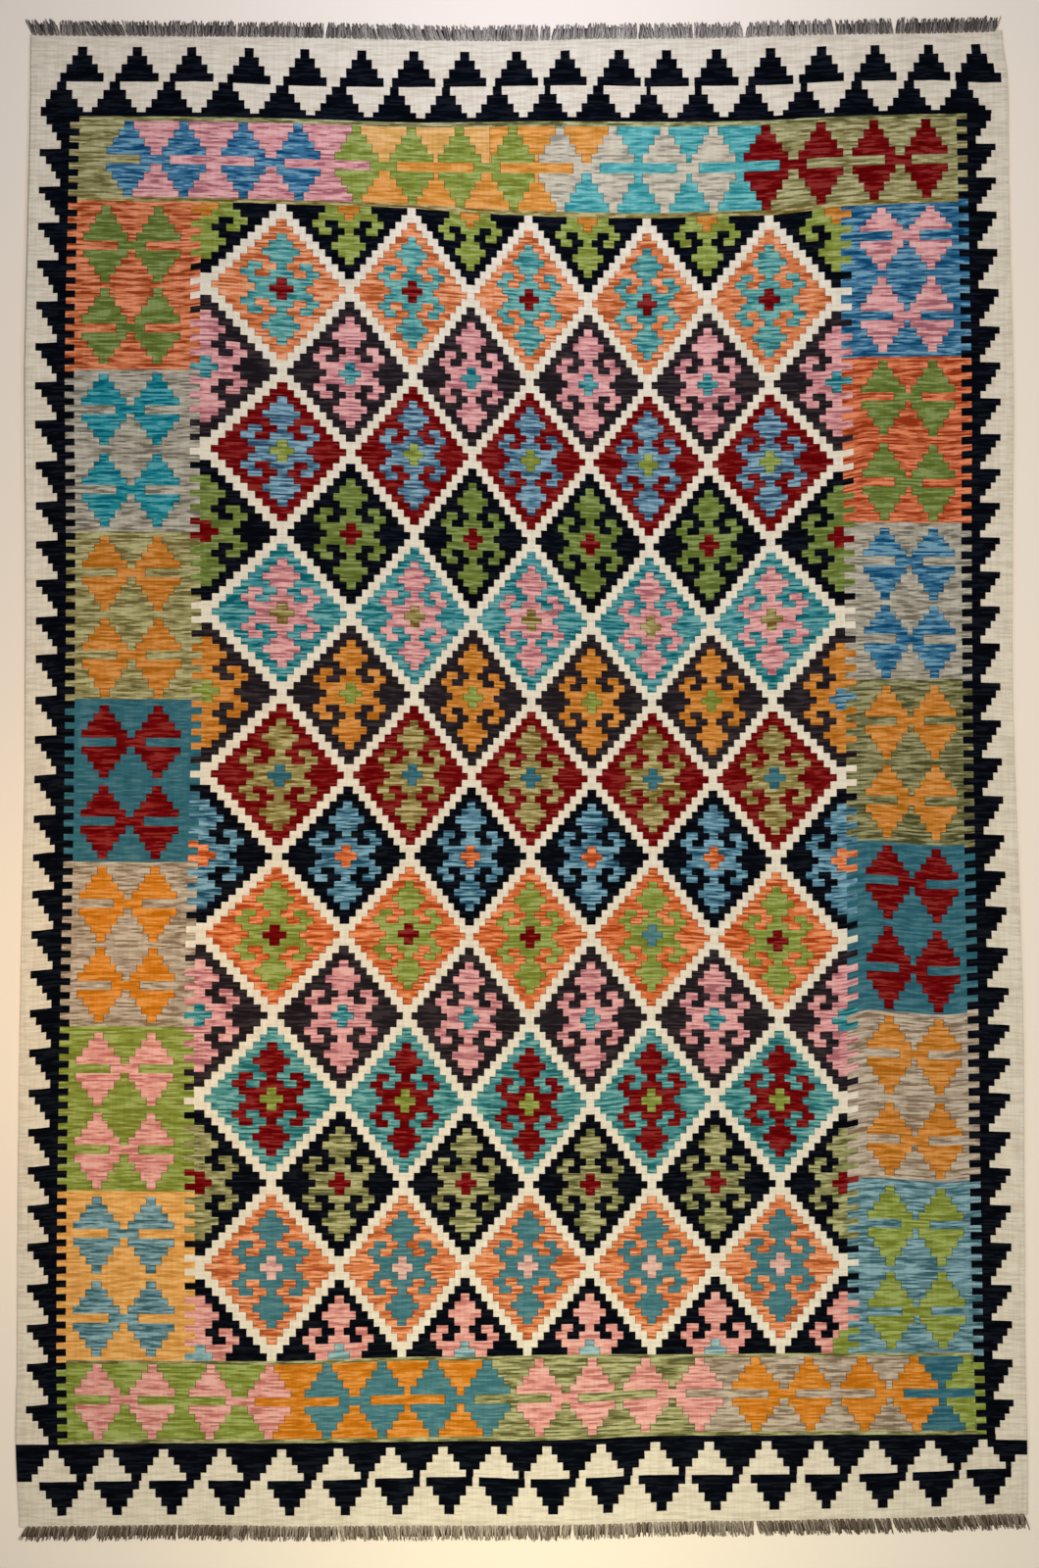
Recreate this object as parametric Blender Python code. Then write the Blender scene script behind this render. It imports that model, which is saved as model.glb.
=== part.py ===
"""A flat-woven wool rug (kilim), laid out flat, with a short cut fringe of its warps at both ends.

Blender 4.5, metres, +Z up. The origin is on the floor, at the middle of the rug's outline.
+Y runs along the warps to the end called top, +X runs across them to the side called right.

Three pieces: the woven cloth, and a fringe at each end. Each fringe is a narrow knotted strip that
follows the cloth's end, with the locks of warp yarn rooted in it and lying level on the floor.
"""

import math
import random
from typing import NamedTuple

import bmesh
import bpy

# Driving sizes of the cloth.
CLOTH_WIDTH = 2.000
CLOTH_LENGTH = 3.010
CLOTH_THICKNESS = 0.0035
RIM_ROUNDING = 0.0009
SIDE_STEP = 0.045
END_STEP = 0.0133

# Driving sizes of the fringe: a strip of knots, and the locks rooted in it. The shares are of a
# lock's pitch, and the lock thins from its root to its tip.
STRIP_GAP = 0.0003
STRIP_WIDTH = 0.0050
KNOT_HEIGHT = 0.0031
DIP_HEIGHT = 0.0022
DIP_DEPTH = 0.0012
LOCKS_PER_END = 150
ROOT_SHARE = 0.74
MIDDLE_SHARE = 0.68
TIP_SHARE = 0.56
MIDDLE_REACH = 0.55
LOCK_MIDDLE_HEIGHT = 0.0027
LOCK_TIP_HEIGHT = 0.0016
TOP_LOCK_LENGTH = 0.0205
BOTTOM_LOCK_LENGTH = 0.0230
LENGTH_SPREAD = 0.0022
LEAN_WAVE_DEG = 9.0
LEAN_SPREAD_DEG = 4.0
CORNER_FAN_DEG = 9.6
CORNER_FAN_LOCKS = 5.0

MM = 0.001


class SideStation(NamedTuple):
    """How far both selvedges stand out from a straight edge at one place along the cloth."""

    along: float
    left_mm: float
    right_mm: float


class EndStation(NamedTuple):
    """How far both ends stand out from a straight edge at one place across the cloth."""

    across: float
    top_mm: float
    bottom_mm: float


# The cloth is woven by hand: it widens towards its bottom end, and both ends run in slow curves.
SIDE_STATIONS = (
    SideStation(along=1.520, left_mm=-13, right_mm=-32),
    SideStation(along=1.400, left_mm=-9, right_mm=-22),
    SideStation(along=1.200, left_mm=-6, right_mm=-18),
    SideStation(along=1.000, left_mm=0, right_mm=-13),
    SideStation(along=0.750, left_mm=0, right_mm=-9),
    SideStation(along=0.500, left_mm=-2, right_mm=-10),
    SideStation(along=0.250, left_mm=0, right_mm=-9),
    SideStation(along=0.000, left_mm=5, right_mm=-5),
    SideStation(along=-0.250, left_mm=7, right_mm=2),
    SideStation(along=-0.500, left_mm=12, right_mm=7),
    SideStation(along=-0.750, left_mm=16, right_mm=10),
    SideStation(along=-1.000, left_mm=18, right_mm=14),
    SideStation(along=-1.250, left_mm=20, right_mm=17),
    SideStation(along=-1.400, left_mm=21, right_mm=20),
    SideStation(along=-1.520, left_mm=16, right_mm=19),
)
END_STATIONS = (
    EndStation(across=-1.020, top_mm=-2, bottom_mm=11),
    EndStation(across=-0.800, top_mm=-4, bottom_mm=5),
    EndStation(across=-0.600, top_mm=-4, bottom_mm=7),
    EndStation(across=-0.400, top_mm=-8, bottom_mm=9),
    EndStation(across=-0.200, top_mm=-12, bottom_mm=6),
    EndStation(across=0.000, top_mm=-12, bottom_mm=7),
    EndStation(across=0.200, top_mm=-8, bottom_mm=3),
    EndStation(across=0.400, top_mm=-6, bottom_mm=-3),
    EndStation(across=0.600, top_mm=0, bottom_mm=-5),
    EndStation(across=0.800, top_mm=2, bottom_mm=-11),
    EndStation(across=1.020, top_mm=12, bottom_mm=-17),
)


def smooth(places, values, place):
    """The value at a place, on a smooth curve through the stations' values."""
    if places[0] > places[-1]:
        places, values = places[::-1], values[::-1]
    place = min(max(place, places[0]), places[-1])
    last = len(places) - 1
    i = next((n for n in range(last) if place <= places[n + 1]), last - 1)
    share = (place - places[i]) / (places[i + 1] - places[i])
    before, here = values[max(i - 1, 0)], values[i]
    there, after = values[i + 1], values[min(i + 2, last)]
    straight = here + (there - here) * share
    bend = (2 * here - before - there) * (1 - share) + (2 * there - here - after) * share
    return straight + bend * share * (1 - share) / 2


def side_x(side, y):
    """X of a selvedge at height y: side is -1 for the left one and 1 for the right one."""
    along = [station.along for station in SIDE_STATIONS]
    bows = [station.left_mm if side < 0 else station.right_mm for station in SIDE_STATIONS]
    return side * (CLOTH_WIDTH / 2 + smooth(along, bows, y) * MM)


def end_y(end, x):
    """Y of a cloth end at place x: end is 1 for the top one and -1 for the bottom one."""
    across = [station.across for station in END_STATIONS]
    bows = [station.top_mm if end > 0 else station.bottom_mm for station in END_STATIONS]
    return end * (CLOTH_LENGTH / 2 + smooth(across, bows, x) * MM)


def corner(side, end):
    """Where a selvedge meets an end. Each curve is nearly square to the other, so this settles fast."""
    x, y = side * CLOTH_WIDTH / 2, end * CLOTH_LENGTH / 2
    for _ in range(4):
        x = side_x(side, y)
        y = end_y(end, x)
    return x, y


def steps(start, stop, longest):
    """Evenly spaced places from start up to, and not including, stop."""
    count = math.ceil(abs(stop - start) / longest)
    return [start + (stop - start) * n / count for n in range(count)]


def cloth_outline():
    """The cloth's edge, counter-clockwise from its bottom left corner."""
    left_bottom, right_bottom = corner(-1, -1), corner(1, -1)
    left_top, right_top = corner(-1, 1), corner(1, 1)
    bottom = [(x, end_y(-1, x)) for x in steps(left_bottom[0], right_bottom[0], END_STEP)]
    right = [(side_x(1, y), y) for y in steps(right_bottom[1], right_top[1], SIDE_STEP)]
    top = [(x, end_y(1, x)) for x in steps(right_top[0], left_top[0], END_STEP)]
    left = [(side_x(-1, y), y) for y in steps(left_top[1], left_bottom[1], SIDE_STEP)]
    return bottom + right + top + left


def wool(name, red, green, blue, roughness):
    """A dull yarn finish."""
    material = bpy.data.materials.new(name)
    material.use_nodes = True
    shader = material.node_tree.nodes["Principled BSDF"]
    shader.inputs["Base Color"].default_value = (red, green, blue, 1)
    shader.inputs["Roughness"].default_value = roughness
    shader.inputs["Metallic"].default_value = 0
    return material


def add_object(name, mesh, material):
    """The mesh as an object in the scene, facing out and with its one material."""
    form = bmesh.new()
    form.from_mesh(mesh)
    bmesh.ops.recalc_face_normals(form, faces=form.faces)
    form.to_mesh(mesh)
    form.free()
    mesh.materials.append(material)
    piece = bpy.data.objects.new(name, mesh)
    bpy.context.scene.collection.objects.link(piece)
    return piece


def make_cloth(material):
    """The woven cloth: one flat sheet with the hand-woven outline and a softly rounded rim."""
    form = bmesh.new()
    lower = form.faces.new([form.verts.new((x, y, 0)) for x, y in cloth_outline()])
    raised = bmesh.ops.extrude_face_region(form, geom=[lower], use_keep_orig=True)
    upper = [item for item in raised["geom"] if isinstance(item, bmesh.types.BMVert)]
    bmesh.ops.translate(form, verts=upper, vec=(0, 0, CLOTH_THICKNESS))
    upper_rim = [edge for edge in form.edges if all(v.co.z > CLOTH_THICKNESS / 2 for v in edge.verts)]
    bmesh.ops.bevel(form, geom=upper_rim, offset=RIM_ROUNDING, segments=1, affect="EDGES")
    mesh = bpy.data.meshes.new("kilim_cloth")
    form.to_mesh(mesh)
    form.free()
    return add_object("kilim_cloth", mesh, material)


class Lock(NamedTuple):
    """One lock of warp yarn: where its root starts and stops across the rug, its reach and its lean."""

    start: float
    stop: float
    length: float
    lean: float


def plan_locks(end, mean_length, seed):
    """The locks of one end, from left to right. Neighbours lean nearly alike, so none meets the next."""
    chance = random.Random(seed)
    first, last = corner(-1, end)[0], corner(1, end)[0]
    pitch = (last - first) / LOCKS_PER_END
    waves = [(chance.uniform(2.5, 6.5), chance.uniform(0, math.tau)) for _ in range(3)]
    locks = []
    for n in range(LOCKS_PER_END):
        middle = first + pitch * (n + 0.5)
        share = n / LOCKS_PER_END
        wave = sum(math.sin(math.tau * turns * share + phase) for turns, phase in waves) / len(waves)
        fan_left = math.exp(-n / CORNER_FAN_LOCKS)
        fan_right = math.exp(-(LOCKS_PER_END - 1 - n) / CORNER_FAN_LOCKS)
        lean = LEAN_WAVE_DEG * wave + CORNER_FAN_DEG * (fan_right - fan_left)
        lean += chance.uniform(-0.5, 0.5) * LEAN_SPREAD_DEG
        length = mean_length + chance.uniform(-1, 1) * LENGTH_SPREAD
        half = pitch * ROOT_SHARE / 2
        locks.append(Lock(middle - half, middle + half, length, math.radians(lean)))
    return locks


def ring(form, x, inner, outer, height):
    """One cross-section of the strip: inner bottom, inner top, outer top, outer bottom."""
    corners = ((inner, 0), (inner, height), (outer, height), (outer, 0))
    return [form.verts.new((x, y, z)) for y, z in corners]


def bridge(form, ring_a, ring_b, skip=()):
    """Joins two rings of four points by quads, apart from the skipped sides."""
    for k in range(4):
        if k not in skip:
            following = (k + 1) % 4
            form.faces.new((ring_a[k], ring_a[following], ring_b[following], ring_b[k]))


def add_lock(form, end, lock, left_ring, right_ring):
    """Grows a lock out of the strip's outer side, between two rings. It tapers to a blunt cut tip."""
    outer_side = (left_ring[2], right_ring[2], right_ring[3], left_ring[3])
    middle = (lock.start + lock.stop) / 2
    root_y = (left_ring[2].co.y + right_ring[2].co.y) / 2
    root_half = (lock.stop - lock.start) / 2
    sections = (
        (MIDDLE_REACH, MIDDLE_SHARE, LOCK_MIDDLE_HEIGHT),
        (1.0, TIP_SHARE, LOCK_TIP_HEIGHT),
    )
    previous = outer_side
    for reach_share, width_share, height in sections:
        reach = lock.length * reach_share
        x = middle + reach * math.sin(lock.lean)
        y = root_y + end * reach * math.cos(lock.lean)
        half = root_half * width_share / ROOT_SHARE
        ends = ((x - half, height), (x + half, height), (x + half, 0), (x - half, 0))
        current = [form.verts.new((place, y, z)) for place, z in ends]
        bridge(form, previous, current)
        previous = current
    form.faces.new(previous)


def make_fringe(name, end, mean_length, seed, material):
    """The fringe of one end: a strip of knots just clear of the cloth, with its locks fused to it."""
    locks = plan_locks(end, mean_length, seed)
    form = bmesh.new()

    def section(x, height, dip=0.0):
        inner = end_y(end, x) + end * STRIP_GAP
        return ring(form, x, inner, inner + end * (STRIP_WIDTH - dip), height)

    rings = [section(corner(-1, end)[0], DIP_HEIGHT, DIP_DEPTH)]
    form.faces.new(rings[0])
    for lock, following in zip(locks, [*locks[1:], None]):
        root_left, root_right = section(lock.start, KNOT_HEIGHT), section(lock.stop, KNOT_HEIGHT)
        past = (lock.stop + following.start) / 2 if following else corner(1, end)[0]
        dip = section(past, DIP_HEIGHT, DIP_DEPTH)
        bridge(form, rings[-1], root_left)
        bridge(form, root_left, root_right, skip=(2,))
        bridge(form, root_right, dip)
        add_lock(form, end, lock, root_left, root_right)
        rings.append(dip)
    form.faces.new(rings[-1])
    mesh = bpy.data.meshes.new(name)
    form.to_mesh(mesh)
    form.free()
    return add_object(name, mesh, material)


def centre_on_origin(pieces):
    """Shifts all the pieces together, so that the middle of their outline is at the origin."""
    points = [vertex.co for piece in pieces for vertex in piece.data.vertices]
    middle_x = (min(p.x for p in points) + max(p.x for p in points)) / 2
    middle_y = (min(p.y for p in points) + max(p.y for p in points)) / 2
    for piece in pieces:
        for vertex in piece.data.vertices:
            vertex.co.x -= middle_x
            vertex.co.y -= middle_y


def main():
    """Clears the scene and builds the rug."""
    for old in list(bpy.data.objects):
        bpy.data.objects.remove(old, do_unlink=True)
    weft = wool("ivory_weft_wool", 0.70, 0.66, 0.56, 0.95)
    warp = wool("grey_warp_wool", 0.17, 0.15, 0.13, 0.95)
    centre_on_origin(
        [
            make_cloth(weft),
            make_fringe("fringe_top", 1, TOP_LOCK_LENGTH, 11, warp),
            make_fringe("fringe_bottom", -1, BOTTOM_LOCK_LENGTH, 23, warp),
        ]
    )


main()
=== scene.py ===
"""Looks of a flat-woven wool rug with a short cut fringe at both ends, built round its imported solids.

The cloth is drafted on a weaver's chart: one unit of the chart is 1.981 mm, across runs to the right
and down runs towards the bottom end. Panels are drafted straight, as on the loom, and the loom class
then lays each crossing where the slack of hand weaving puts it on the floor.
"""

import logging
import math
import random
from bisect import bisect_right
from collections.abc import Callable, Iterable, Sequence
from dataclasses import dataclass, field
from enum import Enum

import bpy
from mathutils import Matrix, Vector, noise


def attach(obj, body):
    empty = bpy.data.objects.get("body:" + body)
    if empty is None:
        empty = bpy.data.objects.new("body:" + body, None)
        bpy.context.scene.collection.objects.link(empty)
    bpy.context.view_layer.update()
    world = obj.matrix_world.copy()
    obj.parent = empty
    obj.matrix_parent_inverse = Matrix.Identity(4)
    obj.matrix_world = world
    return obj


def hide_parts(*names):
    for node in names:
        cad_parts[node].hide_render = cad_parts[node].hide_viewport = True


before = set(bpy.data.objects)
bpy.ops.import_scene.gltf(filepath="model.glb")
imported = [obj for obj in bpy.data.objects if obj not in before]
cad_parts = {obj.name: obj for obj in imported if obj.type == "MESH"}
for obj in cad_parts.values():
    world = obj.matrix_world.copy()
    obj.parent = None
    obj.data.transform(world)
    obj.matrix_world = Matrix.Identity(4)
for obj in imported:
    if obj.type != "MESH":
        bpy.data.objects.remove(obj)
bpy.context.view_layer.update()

LOG = logging.getLogger("kilim")
BODY = "root"

# The chart: its unit in metres, and the place on it that lies at the origin of the frame.
UNIT = 0.001981
CHART_MIDDLE = (532.5, 795.25)

# Places on the chart are kept to this many decimals, and two nearer than this are the same.
CHART_DIGITS = 2
SAME_PLACE = 0.005

# A wool with its dye lot, a place with its wool, and a place on a plane.
Skein = tuple["Yarn", int]
Station = tuple[float, "Yarn"]
Point = tuple[float, float]


def linear(colour: str) -> tuple[float, float, float, float]:
    """Turns an sRGB hex value into a linear colour.

    Args:
        colour: Six hex digits.
    Returns:
        Red, green, blue and alpha, linear.
    """
    shares = [int(colour[n : n + 2], 16) / 255 for n in (0, 2, 4)]
    red, green, blue = (s / 12.92 if s <= 0.04045 else ((s + 0.055) / 1.055) ** 2.4 for s in shares)
    return red, green, blue, 1.0


@dataclass(frozen=True)
class Dye:
    """One lot of dyed wool: its colour, and the lighter and darker skeins that streak it."""

    base: str
    light: str
    dark: str


class Yarn(Enum):
    """The wools on the weaver's bench."""

    IVORY = Dye("DDD0BC", "E4D8C5", "D3C5B0")
    LATTICE = Dye("E6DAC6", "EBE0CD", "DFD2BD")
    NAVY = Dye("070A12", "14171E", "04060B")
    CHARCOAL = Dye("241E23", "382F31", "1C1619")
    GREEN = Dye("6B7937", "87955A", "58652A")
    LEAF = Dye("84903F", "9FA961", "71772B")
    RUST = Dye("C66F45", "E9916A", "953D1B")
    BRICK = Dye("C1613D", "E6885F", "943516")
    ORANGE = Dye("D67C4B", "ECA67E", "A8522A")
    EMBER = Dye("D26B39", "EC976A", "A5421A")
    GOLD = Dye("C47B32", "D89450", "A86316")
    AMBER = Dye("CD7A23", "DC9246", "B8690F")
    MARIGOLD = Dye("D68D3E", "E3A25C", "BD7A2B")
    TAN = Dye("DD9F56", "EAB571", "C68A41")
    HONEY = Dye("DAA25C", "E8B577", "C8954D")
    TURQUOISE = Dye("21838F", "55A1AA", "035E70")
    LAGOON = Dye("549694", "80B5AB", "276D74")
    BAY = Dye("3E858D", "72A8A9", "085E66")
    SHALLOWS = Dye("53A1A3", "76BAB5", "2C8488")
    SEA = Dye("49888A", "7BAEA9", "1F6064")
    TEAL = Dye("336674", "4A7580", "2A5866")
    PETROL = Dye("46757F", "5A8589", "3A6971")
    RED = Dye("6E0A0D", "882B27", "5A0204")
    GREY = Dye("A2998A", "BEB7A8", "716B5F")
    STONE = Dye("A89684", "C5B4A1", "826D58")
    SILVER = Dye("BFB39E", "D0C4AD", "928C7B")
    SAGE = Dye("968E61", "B8B183", "6D6237")
    MOSS = Dye("736F49", "9E9871", "48472A")
    OLIVE = Dye("8E824D", "BBAC7A", "6C5421")
    FERN = Dye("8B8759", "B5B182", "5A5A34")
    PINK = Dye("D39191", "E6AFAB", "A3626A")
    ROSE = Dye("DA948B", "E7AFA4", "B97068")
    BLUSH = Dye("DCAEA1", "E6BCB0", "C08F86")
    BLUE = Dye("3B6E90", "739DB2", "10466A")
    RIVER = Dye("578095", "83ABBD", "1E485E")
    PALE_BLUE = Dye("668892", "8CACB4", "3B6069")
    SKY = Dye("5A7F95", "8BABBB", "2F4A63")
    MIST = Dye("86A9AE", "A3C0C2", "62838B")


def smooth(places: Sequence[float], values: Sequence[float], place: float) -> float:
    """Reads a smooth curve through some stations.

    Args:
        places: The stations' places, rising.
        values: The value at each station.
        place: Where the curve is read, held between the first and last station.
    Returns:
        The value there.
    """
    place = min(max(place, places[0]), places[-1])
    last = len(places) - 1
    i = min(bisect_right(places, place) - 1, last - 1)
    share = (place - places[i]) / (places[i + 1] - places[i])
    before, here = values[max(i - 1, 0)], values[i]
    there, after = values[i + 1], values[min(i + 2, last)]
    bend = (2 * here - before - there) * (1 - share) + (2 * there - here - after) * share
    return here + (there - here) * share + bend * share * (1 - share) / 2


@dataclass
class Loom:
    """Lays the straight chart on the floor, with the bow of its warps and the sag of its wefts."""

    # Each warp line: its place across the straight chart, then its place across the floor at each of
    # the heights in warp_stations.
    warp_stations: tuple[float, ...] = (40, 75, 206, 373, 540, 706, 872, 1037, 1206, 1388, 1473, 1555)
    warp_lines: dict[float, tuple[float, ...]] = field(
        default_factory=lambda: {
            24: (32, 32.5, 30.5, 27, 27.7, 27, 24.1, 20.9, 19, 18, 16.6, 20.5),
            75: (83, 82.3, 79, 75.7, 77, 76.3, 74.6, 71, 68.3, 67.3, 69, 70),
            201: (206, 206, 205, 204, 204, 206, 202, 198, 198.5, 199, 197.5, 198),
            283: (286, 286, 287.3, 288.2, 288.3, 287.6, 282.8, 278.3, 276.7, 277.3, 276.3, 277),
            417: (418, 418, 420, 421.5, 423, 423, 418.5, 415.5, 411.5, 410, 410.5, 411),
            540: (538, 538, 539, 540.3, 542, 542, 541, 540.5, 539.5, 538, 538.5, 538.3),
            664: (659, 659, 659.7, 660.6, 662.2, 665.3, 666.3, 664.2, 665, 664.7, 664.6, 664.6),
            788: (783, 783, 784.3, 784.6, 786, 788, 791.6, 795, 796, 796.5, 797.7, 797.7),
            861: (857.5, 857.5, 857.6, 858.7, 861, 863, 863.7, 864.5, 864.6, 865.3, 868.5, 868.5),
            984: (974, 975, 977.6, 980.8, 980.8, 982, 984, 987, 989.3, 993, 996.5, 999),
            1034: (1021.5, 1027, 1028.6, 1033, 1032.3, 1032.5, 1038, 1043, 1044, 1045, 1047, 1048),
        }
    )
    # Each weft line: its place down the straight chart, then how far it sags at each of the places
    # across in weft_stations.
    weft_stations: tuple[float, ...] = (
        30, 62, 190, 204, 300, 415, 480, 540, 604, 664, 725, 788, 858, 885, 960, 1000, 1045,
    )
    weft_lines: dict[float, tuple[float, ...]] = field(
        default_factory=lambda: {
            37: (-1.2, -1, 0, 0, 1, 3.4, 4.5, 4.2, 2.5, 2.2, 1.6, 0, -2, -2.4, -3.6, -4.5, -7),
            82.5: (0.8, 0.8, 0.8, 0.8, 5, 6.5, 6, 5.2, 4.6, 5.9, 5.2, 4.3, 0.5, 0, -0.3, 1.6, 1.6),
            118.5: (0.6, 0, 0.6, 0.8, 2.7, 6.4, 6.3, 5.4, 5.5, 5.9, 5.6, 4, 0.3, -0.8, -2.2, -2.5, -2),
            161.5: (0.6, 0, 1.6, 1.8, 5.4, 8.8, 9.6, 10, 10.2, 10, 9.8, 7.3, 3.8, 2.3, 0.5, 0, 0.6),
            205: (-0.4, -1, 1, 1.2, 3.6, 7.3, 12.3, 15.2, 17, 18, 15.8, 14.4, 6.4, 4, 1.2, 1, 1.8),
            292: (0.8, 0, 0, -3, 3.2, 5, 10, 14, 18, 19, 16, 13.7, 14, 13.2, 12.8, 13, 14.5),
            373: (1, 0, 0.4, 0.8, 6.5, 10.4, 13.3, 17, 20.2, 20.5, 19.6, 18.8, 17, 14.8, 14.4, 13, 14.5),
            457: (1.7, 0, 0.3, 0.4, 3.3, 6.6, 9.3, 13, 15, 17.6, 17, 14, 14, 7.5, 10, 7.5, 8),
            541: (1.6, 0, 0.6, 0.8, 2.3, 5.3, 8.8, 10.4, 14.8, 16.8, 15.5, 11.8, 6.4, 6, 6.5, 6, 7.2),
            624: (1.7, 0, 0.3, 0, 2, 5, 8, 9, 12.5, 16, 14, 7.8, 5.2, 5, 6.8, 6, 7.2),
            704: (1.7, 0, 1, 0.4, 2.3, 4.4, 7.2, 11.2, 12.5, 12.8, 10.6, 11, 9.7, 8, 7, 7, 8.5),
            788: (1.7, 0, 0.6, 0.6, 3, 1.8, 3.7, 5.2, 6.3, 6.3, 7.2, 5, 4.8, 4, 4, 4, 5.5),
            872: (2.2, 0, 0.3, 0.4, 1.6, 1.2, 1.6, 1.5, 2.4, 2, 2.8, 6, 5.4, 2, 8.5, 5, 6.7),
            952: (2.6, 0, 0, 0, 1.8, 0.2, 3, 3.7, 1.6, 1.7, 5.2, 7.8, 7, 1.5, 6.8, 4, 6),
            1035: (3, 0, 0.7, 0.7, 1.7, 1.8, 4, 7, 5, 3.3, 5, 6, 6.8, 1, 6, 3, 5),
            1120: (3, 0, 0.2, 0.2, 1.2, 3, 4.5, 6.8, 5.3, 2.2, 0.6, 1, 4.7, 0, 1, 0, 1.5),
            1206: (3, 0, 1, 1.2, 1.4, 2.6, 1.9, 3, 2.7, 3.3, 0.2, 2, 1.7, -2, 3, 0, 1.2),
            1292: (2.5, 0, 0.5, 0.5, 1, 1, -1, -0.3, 0.3, -0.4, -1.8, -3, -2.3, -2.8, -3, -3, -2),
            1388: (2.2, 0, 0.8, 0.6, 0.7, -3.4, -3.4, -5, -6, -6, -6.2, -7, -7.2, -7.6, -7.8, -8, -6.8),
            1428.5: (
                2, -0.5, 1, 1.2, 2.7, -0.2, -0.2, -1.3, -2.2, -6.5, -6.8, -6.2, -6.6, -6.6, -6.6, -7.6, -7,
            ),
            1473: (
                1, 0.8, -0.3, -0.4, -0.3, -1.9, -2.8, -2.9, -5, -7.5, -8.3, -8.7, -9, -9, -8.8, -9.6, -9.2,
            ),
            1511: (
                1.3, 1.2, -0.5, -0.5, 0, -3, -4, -1.7, -3, -6, -6.2, -6.5, -6.8, -7.4, -9.8, -12, -12.4,
            ),
            1558: (
                0, -0.4, -1.8, -1.8, -0.2, -1, -1, -1, -2, -4.5, -5.5, -6, -7.8, -8.2, -9.8, -11.8, -13,
            ),
        }
    )
    # The small waver of the hand, in chart units, and the seed that fixes it.
    waver: float = 0.45
    waver_length: float = 17.0
    waver_seed: int = 11
    # How often straighten() corrects its guess.
    rounds: int = 6

    def __post_init__(self) -> None:
        """Sorts the lines into the columns that place() reads, and seeds the waver."""
        noise.seed_set(self.waver_seed)
        self.warp_places = list(self.warp_lines)
        self.warp_values = list(self.warp_lines.values())
        self.weft_places = list(self.weft_lines)
        self.weft_values = list(self.weft_lines.values())

    def eased(self, across: float, down: float) -> Point:
        """Where a crossing of the straight chart lies, without the small waver of the hand.

        Args:
            across: Place across the straight chart.
            down: Place down it.
        Returns:
            Place across and down on the floor, in chart units.
        """
        i = min(max(bisect_right(self.warp_places, across) - 1, 0), len(self.warp_places) - 2)
        left, right = self.warp_places[i], self.warp_places[i + 1]
        share = (across - left) / (right - left)
        left_at = smooth(self.warp_stations, self.warp_values[i], down)
        right_at = smooth(self.warp_stations, self.warp_values[i + 1], down)
        x = left_at + (right_at - left_at) * share
        i = min(max(bisect_right(self.weft_places, down) - 1, 0), len(self.weft_places) - 2)
        above, below = self.weft_places[i], self.weft_places[i + 1]
        share = (down - above) / (below - above)
        sag_above = smooth(self.weft_stations, self.weft_values[i], x)
        sag_below = smooth(self.weft_stations, self.weft_values[i + 1], x)
        return x, down + sag_above + (sag_below - sag_above) * share

    def place(self, across: float, down: float) -> Point:
        """Where a crossing of the straight chart lies on the floor, with the waver of the hand.

        Args:
            across: Place across the straight chart.
            down: Place down it.
        Returns:
            X and Y in metres, in the frame.
        """
        x, y = self.eased(across, down)
        spot = Vector((across / self.waver_length, down / self.waver_length, 0))
        drift = noise.noise_vector(spot)
        x += drift.x * self.waver
        y += drift.y * self.waver
        return (x - CHART_MIDDLE[0]) * UNIT, (CHART_MIDDLE[1] - y) * UNIT

    def straighten(self, x: float, y: float) -> Point:
        """Finds the crossing of the straight chart that lies at a place of the floor.

        Args:
            x: Place across the floor, in chart units.
            y: Place down it.
        Returns:
            Place across and down on the straight chart.
        """
        across, down = x, y
        for _ in range(self.rounds):
            found_x, found_y = self.eased(across, down)
            across += x - found_x
            down += y - found_y
        return across, down


@dataclass
class Panel:
    """A rectangle of the chart, drafted in columns and rows, each cell woven in one wool."""

    name: str
    columns: list[float]
    rows: list[float]
    cells: list[list[Yarn]]
    lots: list[list[int]]


def draft(
    name: str,
    columns: Iterable[float],
    rows: Iterable[float],
    wool: Callable[[float, float], Skein],
) -> Panel:
    """Drafts a panel by asking for the wool at the middle of each of its cells.

    Args:
        name: The panel's name.
        columns: Lines across the straight chart.
        rows: Lines down it.
        wool: Gives the wool and its dye lot at a place across and down.
    Returns:
        The drafted panel.
    """
    columns = sorted({round(c, CHART_DIGITS) for c in columns})
    rows = sorted({round(r, CHART_DIGITS) for r in rows})
    cells, lots = [], []
    for top, bottom in zip(rows, rows[1:]):
        found = [wool((a + b) / 2, (top + bottom) / 2) for a, b in zip(columns, columns[1:])]
        cells.append([yarn for yarn, _ in found])
        lots.append([lot for _, lot in found])
    return Panel(name, columns, rows, cells, lots)


# Lines of the straight chart that the panels share.
LEFT_EDGE, COMB_LEFT_OUT, COMB_LEFT_IN = 24.0, 65.0, 75.0
FIELD_LEFT_OUT, FIELD_LEFT_IN = 191.0, 201.0
FIELD_RIGHT_IN, FIELD_RIGHT_OUT = 861.0, 872.0
COMB_RIGHT_IN, COMB_RIGHT_OUT, RIGHT_EDGE = 984.0, 994.0, 1034.0
TOP_END, TOP_LINE, FIELD_TOP = 37.0, 118.5, 205.0
FIELD_BOTTOM, BOTTOM_LINE, BOTTOM_END = 1388.0, 1473.0, 1558.0

# What several panels are woven in. A dye lot's number seeds where its streaks fall.
BLACK: Skein = (Yarn.NAVY, 900)
PLAIN: Skein = (Yarn.IVORY, 901)
LATTICE: Skein = (Yarn.LATTICE, 990)
LOW_COMB: Skein = (Yarn.LEAF, 470)
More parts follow.
